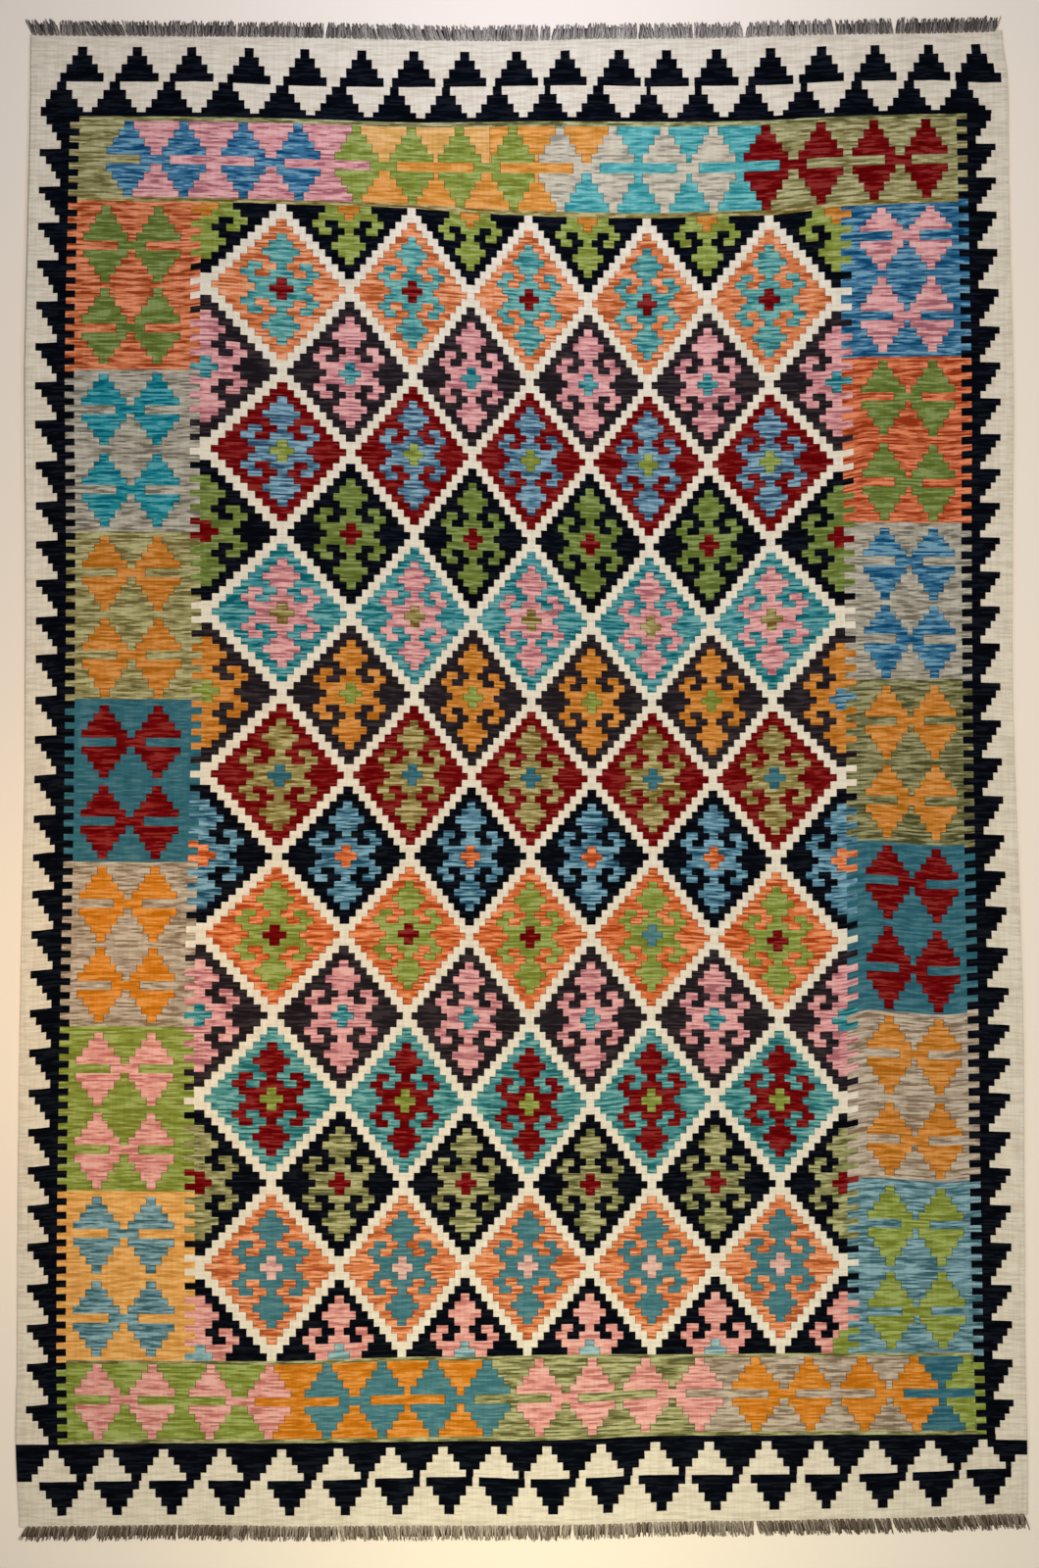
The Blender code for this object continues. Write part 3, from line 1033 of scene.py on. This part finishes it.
            def ground(down: float) -> Skein:
                """The wool and lot at a height."""
                if down < FIELD_TOP:
                    return top.spread(top.bar, across)
                return LOW_COMB if down > FIELD_BOTTOM else boxes.ground(down)

            return ground

        # The first number of each marks() is the place across the floor where they stand.
        return [
            self.top_band().panel(),
            SawTeeth(
                name="saw_left",
                outer=LEFT_EDGE,
                inner=COMB_LEFT_OUT,
                steps=(33.8, 40.2, 46, 51, 56),
                tops=self.marks(48, self.left_saw),
            ).panel(),
            Comb(
                name="comb_left",
                left=COMB_LEFT_OUT,
                right=COMB_LEFT_IN,
                gaps=self.marks(69, spaced(self.left_comb)),
                half_gap=3.3,
                ground=beside(left, COMB_LEFT_IN),
            ).panel(),
            top.panel(),
            left.panel(),
            Dovetail(
                name="dovetail_left",
                left=FIELD_LEFT_OUT,
                right=FIELD_LEFT_IN,
                beside=weave.first_column,
                teeth=self.marks(199, spaced(self.left_dovetail)),
            ).panel(weave, left),
            weave.panel(),
            Dovetail(
                name="dovetail_right",
                left=FIELD_RIGHT_IN,
                right=FIELD_RIGHT_OUT,
                beside=weave.last_column,
                teeth=self.marks(866, spaced(self.right_dovetail)),
            ).panel(weave, right),
            right.panel(),
            Comb(
                name="comb_right",
                left=COMB_RIGHT_IN,
                right=COMB_RIGHT_OUT,
                gaps=self.marks(989, spaced(self.right_comb)),
                half_gap=3.4,
                ground=beside(right, COMB_RIGHT_IN),
            ).panel(),
            SawTeeth(
                name="saw_right",
                outer=RIGHT_EDGE,
                inner=COMB_RIGHT_OUT,
                steps=(1022, 1017.6, 1013, 1007.8, 1002.6),
                tops=self.marks(1010, self.right_saw),
            ).panel(),
            bottom.panel(),
            self.bottom_band().panel(),
        ]


def add_node(
    tree: bpy.types.NodeTree, kind: str, settings: dict | None = None, **links: object
) -> bpy.types.Node:
    """Adds a node with its settings and links.

    Args:
        tree: The material's node tree.
        kind: The node's type.
        settings: Its properties by name.
        links: Its inputs by name, with _ for a space, or by in0, in1 and so on. Each is a socket to
            link or a value to set.
    Returns:
        The node.
    """
    node = tree.nodes.new(kind)
    for name, value in (settings or {}).items():
        setattr(node, name, value)
    for name, value in links.items():
        key = int(name[2:]) if name[:2] == "in" and name[2:].isdigit() else name.replace("_", " ")
        socket = node.inputs[key]
        if isinstance(value, bpy.types.NodeSocket):
            tree.links.new(value, socket)
        else:
            socket.default_value = value
    return node


def matt(name: str, roughness: float, specular: float) -> tuple[bpy.types.Material, bpy.types.Node]:
    """Starts a matt material.

    Args:
        name: Its name.
        roughness: Its roughness.
        specular: How much it shines.
    Returns:
        The material and its shader.
    """
    material = bpy.data.materials.new(name)
    material.use_nodes = True
    shader = material.node_tree.nodes["Principled BSDF"]
    shader.inputs["Roughness"].default_value = roughness
    shader.inputs["Specular IOR Level"].default_value = specular
    return material, shader


@dataclass(frozen=True)
class TapestryWool:
    """Weft-faced tapestry of hand-spun, hand-dyed wool. It is matt, faintly ribbed along the warps,
    and streaked along the wefts, pick by pick, where one skein of a dye lot gives way to the next."""

    name: str = "weft_faced_tapestry_wool"
    roughness: float = 0.92
    specular: float = 0.02
    # A real pick is about 1.2 mm high and a real rib 2.9 mm wide, too fine for a picture of the whole
    # rug. So three picks are drawn as one, and two ribs.
    pick: float = 0.0034
    rib: float = 0.0058
    # The length of a streak within one pick, the length and height of the bands they gather in, and
    # how much the single picks count, out of two.
    streak: float = 0.045
    band: tuple[float, float] = (0.065, 0.006)
    pick_weight: float = 1.3
    grain: float = 0.55
    # Where the light skein and the dark one begin to show in that sum, and where each is full.
    light_share: Point = (1.03, 1.15)
    dark_share: Point = (0.97, 0.84)
    rib_length: float = 0.11
    rib_depth: float = 0.0006
    rib_strength: float = 0.5
    # The noise's range, and the tones it gives the ribs and their knuckles. The ribs' tone follows
    # their bump: painted shade in the grooves and painted light on the crests.
    rib_painted_light_and_shade: tuple[float, float, float, float] = (0.3, 0.7, 0.94, 1.04)
    knuckle_tones: tuple[float, float, float, float] = (0.25, 0.75, 0.97, 1.02)
    # A slit where two wools meet is drawn as painted shade: within this distance of it the colour darkens
    # down to this share, and the bump dips there too.
    slit_width: float = 0.0014
    slit_painted_shade: float = 0.36

    def material(self) -> bpy.types.Material:
        """Makes the material, which reads the cloth's attributes and its chart coordinates."""
        material, shader = matt(self.name, self.roughness, self.specular)
        tree = material.node_tree
        yarn, light, dark, lot, slit = (
            add_node(tree, "ShaderNodeAttribute", {"attribute_name": name})
            for name in ("yarn", "yarn_light", "yarn_dark", "lot", "slit")
        )
        chart = add_node(tree, "ShaderNodeUVMap", {"uv_map": "chart"})
        place = add_node(tree, "ShaderNodeSeparateXYZ", None, Vector=chart.outputs["UV"])
        vector_math = "ShaderNodeVectorMath"

        def combined(operation: str, first: object, second: object) -> bpy.types.NodeSocket:
            """Does one sum on two numbers."""
            node = add_node(tree, "ShaderNodeMath", {"operation": operation}, in0=first, in1=second)
            return node.outputs["Value"]

        def pattern(height: object, across: float, down: float, detail: float) -> bpy.types.NodeSocket:
            """Noise of a length across and a length down, which starts anew in each dye lot."""
            spot = add_node(tree, "ShaderNodeCombineXYZ", None, X=place.outputs["X"], Y=height)
            stretched = add_node(
                tree, vector_math, {"operation": "MULTIPLY_ADD"}, in0=spot.outputs["Vector"],
                in1=(1 / across, 1 / down, 1), in2=lot.outputs["Vector"],
            )
            grain = add_node(
                tree, "ShaderNodeTexNoise", None, Vector=stretched.outputs["Vector"], Scale=1.0,
                Detail=detail, Roughness=self.grain,
            )
            return grain.outputs["Fac"]

        def ranged(
            value: bpy.types.NodeSocket, low: float, high: float, start: float, stop: float
        ) -> bpy.types.NodeSocket:
            """Maps a value's range to another, softly at both ends."""
            node = add_node(
                tree, "ShaderNodeMapRange", {"interpolation_type": "SMOOTHSTEP"}, Value=value,
                From_Min=low, From_Max=high, To_Min=start, To_Max=stop,
            )
            return node.outputs["Result"]

        def mixed(
            share: bpy.types.NodeSocket, first: bpy.types.NodeSocket, second: bpy.types.NodeSocket
        ) -> bpy.types.NodeSocket:
            """Mixes two colours."""
            node = add_node(
                tree, "ShaderNodeMix", {"data_type": "RGBA"}, in0=share, in6=first, in7=second
            )
            return node.outputs[2]

        row = combined("SNAP", place.outputs["Y"], self.pick)
        each_pick = pattern(row, self.streak, self.pick / 4, 1.0)
        bands = pattern(place.outputs["Y"], *self.band, 2.0)
        fine = combined("MULTIPLY", each_pick, self.pick_weight)
        streaks = combined("ADD", fine, combined("MULTIPLY", bands, 2 - self.pick_weight))
        lighter = ranged(streaks, *self.light_share, 0.0, 1.0)
        darker = ranged(streaks, *self.dark_share, 0.0, 1.0)
        colour = mixed(lighter, yarn.outputs["Color"], light.outputs["Color"])
        colour = mixed(darker, colour, dark.outputs["Color"])
        ribs = pattern(place.outputs["Y"], self.rib, self.rib_length, 1.0)
        knuckles = pattern(place.outputs["Y"], self.rib / 2, self.pick, 0.0)
        # Painted shade in the slits: the colour darkens near a slit between two wools, and the bump dips
        # there.
        sides = add_node(tree, "ShaderNodeSeparateXYZ", None, Vector=slit.outputs["Vector"])
        gap = combined("MINIMUM", sides.outputs["X"], sides.outputs["Y"])
        slit_dent_and_painted_shade = ranged(gap, 0.0, self.slit_width, self.slit_painted_shade, 1.0)
        # The ribs' tone is painted shade in their grooves and painted light on their crests.
        tone = combined("MULTIPLY", ranged(ribs, *self.rib_painted_light_and_shade), slit_dent_and_painted_shade)
        tone = combined("MULTIPLY", tone, ranged(knuckles, *self.knuckle_tones))
        final = add_node(tree, vector_math, {"operation": "SCALE"}, in0=colour, Scale=tone)
        height = combined("MULTIPLY", ribs, slit_dent_and_painted_shade)
        bump = add_node(
            tree, "ShaderNodeBump", None, Strength=self.rib_strength, Distance=self.rib_depth,
            Height=height,
        )
        tree.links.new(final.outputs["Vector"], shader.inputs["Base Color"])
        tree.links.new(bump.outputs["Normal"], shader.inputs["Normal"])
        return material


@dataclass(frozen=True)
class WarpWool:
    """Undyed warp wool, two-ply and cut short. It is matt, and each strand has its own tone, mottled
    where the twist turns the darker hairs up."""

    name: str
    light: str
    dark: str
    roughness: float = 0.95
    specular: float = 0.02
    # Repeats per metre: a turn of the two-ply twist is 3 mm long.
    twist: float = 330.0
    # The noise's range, and the shades it gives along a strand.
    noise_range: Point = (0.3, 0.7)
    shades: Point = (0.78, 1.15)

    def material(self) -> bpy.types.Material:
        """Makes the material, which reads each strand's tone."""
        material, shader = matt(self.name, self.roughness, self.specular)
        tree = material.node_tree
        tone = add_node(tree, "ShaderNodeAttribute", {"attribute_name": "tone"})
        mixed = add_node(
            tree, "ShaderNodeMix", {"data_type": "RGBA"}, in0=tone.outputs["Fac"],
            in6=linear(self.dark), in7=linear(self.light),
        )
        place = add_node(tree, "ShaderNodeTexCoord")
        turns = add_node(
            tree, "ShaderNodeTexNoise", None, Vector=place.outputs["Object"], Scale=self.twist, Detail=1.0
        )
        shade = add_node(
            tree, "ShaderNodeMapRange", None, Value=turns.outputs["Fac"],
            From_Min=self.noise_range[0], From_Max=self.noise_range[1],
            To_Min=self.shades[0], To_Max=self.shades[1],
        )
        mottled = add_node(
            tree, "ShaderNodeVectorMath", {"operation": "SCALE"}, in0=mixed.outputs[2],
            Scale=shade.outputs["Result"],
        )
        tree.links.new(mottled.outputs["Vector"], shader.inputs["Base Color"])
        return material


def add_piece(name: str, mesh: bpy.types.Mesh, material: bpy.types.Material) -> bpy.types.Object:
    """Adds a finished mesh to the scene as a piece.

    Args:
        name: The piece's name.
        mesh: Its mesh, in place.
        material: Its finish.
    Returns:
        The object.
    """
    mesh.materials.append(material)
    piece = bpy.data.objects.new(name, mesh)
    bpy.context.scene.collection.objects.link(piece)
    return piece


@dataclass
class KilimCloth:
    """The woven cloth: one closed sheet whose faces are the cells of the chart, on both sides."""

    loom: Loom
    # The sheet's flat width and length.
    flat: Point = (2.00, 3.01)
    thickness: float = 0.0035
    # The round selvedge: how far it bulges, and its section as shares of that and of the thickness.
    rim: float = 0.0016
    rim_section: tuple[Point, ...] = ((0.6, 0.1), (1.0, 0.45), (0.6, 0.9))
    # The selvedges stand a little off the floor between two heights of the chart.
    left_lift: float = 0.008
    left_span: Point = (36.0, 780.0)
    right_lift: float = 0.0035
    right_span: Point = (36.0, 1540.0)
    lift_width: float = 26.0
    # The face swells and dips this much over about this many units of the chart.
    relief: float = 0.0006
    relief_length: float = 60.0
    # How far off a slit is said to be at a side that has none.
    no_slit: float = 0.05
    vertices: list[tuple[float, float, float]] = field(default_factory=list)
    index: dict[tuple[int, int, int], int] = field(default_factory=dict)

    def raised(self, across: float, down: float) -> float:
        """How far the cloth's underside stands off the floor at a place.

        Args:
            across: Place across the straight chart.
            down: Place down it.
        Returns:
            The height in metres.
        """
        height = 0.0
        for lift, (start, stop), inset in (
            (self.left_lift, self.left_span, across - LEFT_EDGE),
            (self.right_lift, self.right_span, RIGHT_EDGE - across),
        ):
            if start < down < stop and inset < self.lift_width:
                along = math.sin(math.pi * (down - start) / (stop - start)) ** 0.5
                height += lift * along * (1 - inset / self.lift_width) ** 2
        return height

    def vertex(self, across: float, down: float, layer: int) -> int:
        """Finds a crossing's vertex, or adds it where there is none yet.

        Args:
            across: Place across the straight chart.
            down: Place down it.
            layer: 1 for the face, 0 for the underside.
        Returns:
            The vertex's index.
        """
        scale = 10**CHART_DIGITS
        key = (round(across * scale), round(down * scale), layer)
        if key not in self.index:
            x, y = self.loom.place(across, down)
            z = self.raised(across, down)
            if layer:
                swell = noise.noise(Vector((across, down, 0)) / self.relief_length)
                z += self.thickness + self.relief * (0.5 + swell / 2)
            self.index[key] = len(self.vertices)
            self.vertices.append((x, y, z))
        return self.index[key]

    def build(self, panels: Sequence[Panel], material: bpy.types.Material) -> bpy.types.Object:
        """Builds the sheet from its panels.

        Args:
            panels: The chart's panels.
            material: The cloth's finish.
        Returns:
            The cloth.
        """
        upright, level = {}, {}
        for panel in panels:
            for line in (panel.columns[0], panel.columns[-1]):
                upright.setdefault(line, set()).update(panel.rows)
            for line in (panel.rows[0], panel.rows[-1]):
                level.setdefault(line, set()).update(panel.columns)
        upright = {line: sorted(places) for line, places in upright.items()}
        level = {line: sorted(places) for line, places in level.items()}

        def inner(lines: dict[float, list[float]], line: float, low: float, high: float) -> list[float]:
            """The places that other panels set on a shared line, between two corners."""
            places = lines.get(line, [])
            first = bisect_right(places, low + SAME_PLACE)
            return places[first : bisect_right(places, high - SAME_PLACE)]

        faces, corners = [], []
        for panel in panels:
            for r, (top, bottom) in enumerate(zip(panel.rows, panel.rows[1:])):
                for c, (left, right) in enumerate(zip(panel.columns, panel.columns[1:])):
                    ring = [(left, bottom)]
                    ring += [(x, bottom) for x in inner(level, bottom, left, right)]
                    ring.append((right, bottom))
                    ring += [(right, y) for y in reversed(inner(upright, right, top, bottom))]
                    ring.append((right, top))
                    ring += [(x, top) for x in reversed(inner(level, top, left, right))]
                    ring.append((left, top))
                    ring += [(left, y) for y in inner(upright, left, top, bottom)]
                    cells, lots = panel.cells[r], panel.lots[r]
                    yarn = cells[c]
                    slit_left = c > 0 and cells[c - 1] is not yarn
                    slit_right = c < len(cells) - 1 and cells[c + 1] is not yarn
                    faces.append(ring)
                    corners.append((yarn, lots[c], left, right, slit_left, slit_right))
        polygons, owners = [], []
        for layer in (1, 0):
            for n, ring in enumerate(faces):
                loop = [self.vertex(x, y, layer) for x, y in ring]
                polygons.append(loop if layer else loop[::-1])
                owners.append((n, ring if layer else ring[::-1]))
        polygons, owners = self.close_rim(polygons, owners, len(faces))
        mesh = bpy.data.meshes.new("kilim")
        mesh.from_pydata(self.vertices, [], polygons)
        self.dress(mesh, corners, owners)
        mesh.validate()
        mesh.shade_smooth()
        return add_piece("kilim", mesh, material)

    def close_rim(
        self, polygons: list[list[int]], owners: list[tuple[int, list[Point]]], count: int
    ) -> tuple[list[list[int]], list[tuple[int, list[Point]]]]:
        """Joins the face to the underside round the edge, with a soft round rim.

        Args:
            polygons: The polygons of both layers.
            owners: For each polygon, its cell and its ring on the chart.
            count: How many polygons the face has.
        Returns:
            The polygons and owners with the rim added.
        """
        edges = {}
        for n in range(count):
            loop, (cell, ring) = polygons[n], owners[n]
            for k in range(len(loop)):
                a, b = loop[k], loop[(k + 1) % len(loop)]
                if (b, a) in edges:
                    del edges[(b, a)]
                else:
                    edges[(a, b)] = (cell, ring[k], ring[(k + 1) % len(ring)])
        sections = {}

        def section(place: Point, index: int) -> list[int]:
            """The rim's vertices at a crossing of the edge, from the face to the underside."""
            if index not in sections:
                x, y, z = self.vertices[index]
                across, down = place
                out_x = self.rim * ((across >= RIGHT_EDGE) - (across <= LEFT_EDGE))
                out_y = self.rim * ((down <= TOP_END) - (down >= BOTTOM_END))
                sections[index] = [index]
                for out, drop in self.rim_section:
                    sections[index].append(len(self.vertices))
                    self.vertices.append((x + out * out_x, y + out * out_y, z - drop * self.thickness))
                sections[index].append(self.vertex(across, down, 0))
            return sections[index]

        for (a, b), (cell, start, stop) in edges.items():
            from_a, from_b = section(start, a), section(stop, b)
            for (a, under_a), (b, under_b) in zip(zip(from_a, from_a[1:]), zip(from_b, from_b[1:])):
                polygons.append([b, a, under_a, under_b])
                owners.append((cell, [stop, start, start, stop]))
        return polygons, owners

    def dress(
        self,
        mesh: bpy.types.Mesh,
        corners: list[tuple[Yarn, int, float, float, bool, bool]],
        owners: list[tuple[int, list[Point]]],
    ) -> None:
        """Writes each cell's wool, lot, slits and chart coordinates on the mesh.

        Args:
            mesh: The cloth's mesh.
            corners: For each cell, its wool, lot, left and right line and its slits.
            owners: For each polygon, its cell and its ring on the chart.
        """
        palette = {
            yarn: (linear(yarn.value.base), linear(yarn.value.light), linear(yarn.value.dark))
            for yarn in Yarn
        }
        colours = ([], [], [])
        lots, slits, chart = [], [], []
        shifts = {}
        for cell, ring in owners:
            yarn, lot, left, right, slit_left, slit_right = corners[cell]
            if lot not in shifts:
                chance = random.Random(lot)
                shifts[lot] = [chance.uniform(0, LOT_SPREAD) for _ in range(3)]
            for x, y in ring:
                for values, shade in zip(colours, palette[yarn]):
                    values += shade
                lots += shifts[lot]
                slits.append((x - left) * UNIT if slit_left else self.no_slit)
                slits.append((right - x) * UNIT if slit_right else self.no_slit)
                slits.append(0.0)
                chart += (x * UNIT, -y * UNIT)
        for name, values in zip(("yarn", "yarn_light", "yarn_dark"), colours):
            layer = mesh.attributes.new(name, "FLOAT_COLOR", "CORNER")
            layer.data.foreach_set("color", values)
        for name, values in (("lot", lots), ("slit", slits)):
            layer = mesh.attributes.new(name, "FLOAT_VECTOR", "CORNER")
            layer.data.foreach_set("vector", values)
        mesh.uv_layers.new(name="chart").data.foreach_set("uv", chart)


@dataclass
class WarpFringe:
    """The cut ends of the warps at one end of the rug: bundles of strands gathered at the cloth."""

    loom: Loom
    name: str
    # 1 at the top end and -1 at the bottom end.
    end: int
    line: float
    length: float
    seed: int
    # By place across the chart: how far the strands lean to the right for their length, how light
    # they are, and how wide a gap the bundles leave at their tips.
    leans: tuple[Point, ...]
    tones: tuple[Point, ...]
    gaps: tuple[Point, ...]
    span: Point
    bundles: int = 175
    strands: int = 6
    strand_width: float = 0.003
    cloth_thickness: float = KilimCloth.thickness
    # A bundle's lock is this high and this share of the strands' length. Its colour is this much darker
    # than theirs: painted shade under the strands that lie on it.
    lock_height: float = 0.0014
    lock_length: float = 0.8
    lock_painted_shade: float = 0.5
    # The strands rise at most this much off the lock, each by a share of it between two limits.
    strand_rise: float = 0.0012
    rise_shares: Point = (0.2, 1.0)
    # All start this far inside the cloth, at this share of its thickness, and a strand's tip is
    # thinner than its root by the last share.
    root_inset: float = 0.001
    root_rise: float = 0.35
    taper: float = 0.35
    # A bundle's width at the cloth as a share of the room it has, and where it fills that room, as a
    # share of its length.
    gathered: float = 0.55
    opened: float = 0.3
    gap_reach: float = 9.0
    gap_at_root: float = 0.3
    length_spread: float = 0.0034
    lean_spread: float = 0.2
    tone_spread: float = 0.42
    sides: int = 4
    sections: tuple[float, ...] = (0.0, 0.3, 0.65, 1.0)

    def build(self, material: bpy.types.Material) -> bpy.types.Object:
        """Builds the fringe as one mesh.

        Args:
            material: Its finish.
        Returns:
            The fringe.
        """
        chance = random.Random(self.seed)
        parts = ([], [], [])
        start, stop = self.span
        for n in range(self.bundles):
            across = start + (stop - start) * (n + 0.5) / self.bundles
            root = self.loom.place(across, self.line)
            shift = 0.0
            for place, width in self.gaps:
                away = across - place
                if abs(away) < self.gap_reach:
                    shift += math.copysign(1 - abs(away) / self.gap_reach, away) * width * UNIT / 2
            lean = smooth(*zip(*self.leans), across) + chance.uniform(-1, 1) * self.lean_spread / 2
            tone = smooth(*zip(*self.tones), across) + chance.uniform(-1, 1) * self.tone_spread / 2
            length = self.length + chance.uniform(-1, 1) * self.length_spread / 2
            self.bundle(root, shift, lean, length, tone, chance, parts)
        vertices, faces, tones = parts
        mesh = bpy.data.meshes.new(self.name)
        mesh.from_pydata(vertices, [], faces)
        layer = mesh.attributes.new("tone", "FLOAT", "FACE")
        layer.data.foreach_set("value", tones)
        mesh.shade_smooth()
        return add_piece(self.name, mesh, material)

    def bundle(
        self,
        root: Point,
        shift: float,
        lean: float,
        length: float,
        tone: float,
        chance: random.Random,
        parts: tuple[list, list, list],
    ) -> None:
        """Adds a bundle: a flat lock of underlying warps with loose strands on it.

        Args:
            root: Where its middle leaves the cloth.
            shift: How far its tips are pushed aside by a gap.
            lean: How far it leans to the right for its length.
            length: Its length.
            tone: Its shade, 0 to 1.
            chance: The fringe's random draws.
            parts: Lists of vertices, faces and tones to add to.
        """
        pitch = (self.span[1] - self.span[0]) * UNIT / self.bundles
        # Each row: the place beside the bundle's middle, the lean, the length, the rise and the shade.
        # The first is the lock itself, darkened by painted shade.
        lay = [(0.0, lean, length * self.lock_length, 0.0, tone - self.lock_painted_shade)]
        for k in range(self.strands):
            lay.append((
                pitch * ((k + 0.5) / self.strands - 0.5),
                lean + chance.uniform(-1, 1) * self.lean_spread,
                length + chance.uniform(-1, 1) * self.length_spread,
                chance.uniform(*self.rise_shares),
                tone + chance.uniform(-1, 1) * self.tone_spread,
            ))
        for row, (beside, own, reach, rise, shade) in enumerate(lay):
            centres, halves = [], []
            for share in self.sections:
                width = self.gathered + (1 - self.gathered) * min(share / self.opened, 1)
                x = root[0] + beside * width + shift * (self.gap_at_root + share) + reach * own * share
                y = root[1] + self.end * (reach * share - self.root_inset)
                slope = self.cloth_thickness * self.root_rise * (1 - share) ** 2
                half = self.strand_width / 2 * (1.0 - self.taper * share)
                if row == 0:
                    halves.append((pitch / 2 * width, self.lock_height / 2))
                    centres.append((x, y, self.lock_height / 2 + slope))
                else:
                    halves.append((half, half))
                    z = self.lock_height / 2 + half + slope + self.strand_rise * rise * share
                    centres.append((x, y, z))
            self.tube(centres, halves, min(max(shade, 0.0), 1.0), parts)

    def tube(
        self,
        centres: Sequence[tuple[float, float, float]],
        halves: Sequence[Point],
        tone: float,
        parts: tuple[list, list, list],
    ) -> None:
        """Adds one closed tube.

        Args:
            centres: The middles of its sections.
            halves: Half the width and half the height of each section.
            tone: Its shade.
            parts: Lists of vertices, faces and tones to add to.
        """
        vertices, faces, tones = parts
        first, sides = len(vertices), self.sides
        for (x, y, z), (wide, high) in zip(centres, halves):
            for side in range(sides):
                turn = math.tau * side / sides
                vertices.append((x + wide * math.cos(turn), y, z + high * math.sin(turn)))
        loops = [[first + side for side in range(sides)]]
        for ring in range(len(centres) - 1):
            a = first + ring * sides
            for side in range(sides):
                b = (side + 1) % sides
                loops.append([a + side, a + side + sides, a + b + sides, a + b])
        loops.append([first + (len(centres) - 1) * sides + side for side in reversed(range(sides))])
        faces += [loop[::-1] for loop in loops] if self.end < 0 else loops
        tones += [tone] * len(loops)


@dataclass(frozen=True)
class Lamp:
    """A soft round lamp that hangs over the rug and shines straight down."""

    name: str
    place: tuple[float, float, float]
    size: float
    watts: float
    tint: str

    def hang(self) -> None:
        """Hangs the lamp, out of the camera's sight."""
        data = bpy.data.lights.new(self.name, "AREA")
        data.shape = "DISK"
        data.size = self.size
        data.energy = self.watts
        data.color = linear(self.tint)[:3]
        lamp = bpy.data.objects.new(self.name, data)
        lamp.location = self.place
        lamp.visible_camera = False
        bpy.context.scene.collection.objects.link(lamp)


@dataclass
class Studio:
    """The plain floor, the soft light from above and the camera that looks straight down."""

    # The picture shows this much of the chart, across and down.
    picture: Point = (1060, 1600)
    frame_height: float = picture[1] * UNIT
    centre: Point = (
        (picture[0] / 2 - CHART_MIDDLE[0]) * UNIT, (CHART_MIDDLE[1] - picture[1] / 2) * UNIT,
    )
    camera_height: float = 4.6
    sensor: float = 36.0
    floor_size: float = 9.0
    floor_drop: float = 0.0002
    floor_colour: str = "F6E7D7"
    floor_roughness: float = 0.8
    floor_specular: float = 0.05
    room_tint: str = "D8E4FF"
    room_strength: float = 0.28
    # One big soft lamp lights the whole rug. A small one stands over each end, cool at the top and
    # warm at the bottom, and a weak amber one at the left side.
    lamps: tuple[Lamp, ...] = (
        Lamp("lamp_over_rug", (0.4, 0.0, 3.5), 0.9, 80.0, "FFFAE6"),
        Lamp("lamp_by_top_end", (0.0, 1.6, 1.0), 0.4, 6.0, "D6E0FF"),
        Lamp("lamp_by_bottom_end", (0.0, -1.6, 1.0), 0.4, 5.0, "FFFCCC"),
        Lamp("lamp_by_left_side", (-0.9, -0.4, 0.8), 0.4, 2.0, "FFD080"),
    )

    def floor(self) -> bpy.types.Object:
        """Lays the plain pale floor just under the rug."""
        bpy.ops.object.select_all(action="DESELECT")
        bpy.ops.mesh.primitive_plane_add(size=self.floor_size, location=(0, 0, -self.floor_drop))
        floor = bpy.context.active_object
        floor.name = "floor"
        material, shader = matt("matt_floor", self.floor_roughness, self.floor_specular)
        shader.inputs["Base Color"].default_value = linear(self.floor_colour)
        floor.data.materials.append(material)
        return floor

    def light(self) -> None:
        """Sets the room's even light and the lamps."""
        world = bpy.data.worlds.new("room")
        world.use_nodes = True
        background = world.node_tree.nodes["Background"]
        background.inputs["Color"].default_value = linear(self.room_tint)
        background.inputs["Strength"].default_value = self.room_strength
        bpy.context.scene.world = world
        for lamp in self.lamps:
            lamp.hang()

    def camera(self) -> None:
        """Sets the camera straight above, as far up as shows the whole rug."""
        data = bpy.data.cameras.new("camera")
        data.sensor_width = self.sensor
        data.lens = self.sensor * self.camera_height / self.frame_height
        camera = bpy.data.objects.new("camera", data)
        camera.location = (*self.centre, self.camera_height + KilimCloth.thickness)
        bpy.context.scene.collection.objects.link(camera)
        bpy.context.scene.camera = camera

    def build(self) -> None:
        """Sets up the studio."""
        self.floor()
        self.light()
        self.camera()
        bpy.context.scene.view_settings.view_transform = "Standard"


def main() -> None:
    """Builds the rug's pieces in order, then the studio."""
    logging.basicConfig(level=logging.INFO, format="%(message)s")
    bpy.ops.object.select_all(action="DESELECT")
    Studio().build()
    loom = Loom()
    cloth = KilimCloth(loom).build(Pattern(loom).panels(), TapestryWool().material())
    LOG.info("kilim: %d faces", len(cloth.data.polygons))
    # The warps are greyer at the top end and browner at the bottom end.
    grey = WarpWool("grey_twisted_warp_wool", "C2B7AE", "5D5552").material()
    brown = WarpWool("brown_twisted_warp_wool", "C4B6A8", "67574A").material()
    fringes = [
        WarpFringe(
            loom, name="warps_top", end=1, line=TOP_END, length=0.0295, seed=5, leans=TOP_LEANS,
            tones=TOP_TONES, gaps=TOP_GAPS, span=TOP_SPAN,
        ).build(grey),
        WarpFringe(
            loom, name="warps_bottom", end=-1, line=BOTTOM_END, length=0.0288, seed=9,
            leans=BOTTOM_LEANS, tones=BOTTOM_TONES, gaps=BOTTOM_GAPS, span=BOTTOM_SPAN,
        ).build(brown),
    ]
    for piece, node, slot in zip(
        [cloth, *fringes],
        ["kilim_cloth", "fringe_top", "fringe_bottom"],
        ["woven_wool", "fringe_wool", "fringe_wool"],
    ):
        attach(piece, BODY)
        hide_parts(node)
        LOG.info("%s: %d faces", piece.name, len(piece.data.polygons))


if __name__ == "__main__":
    main()
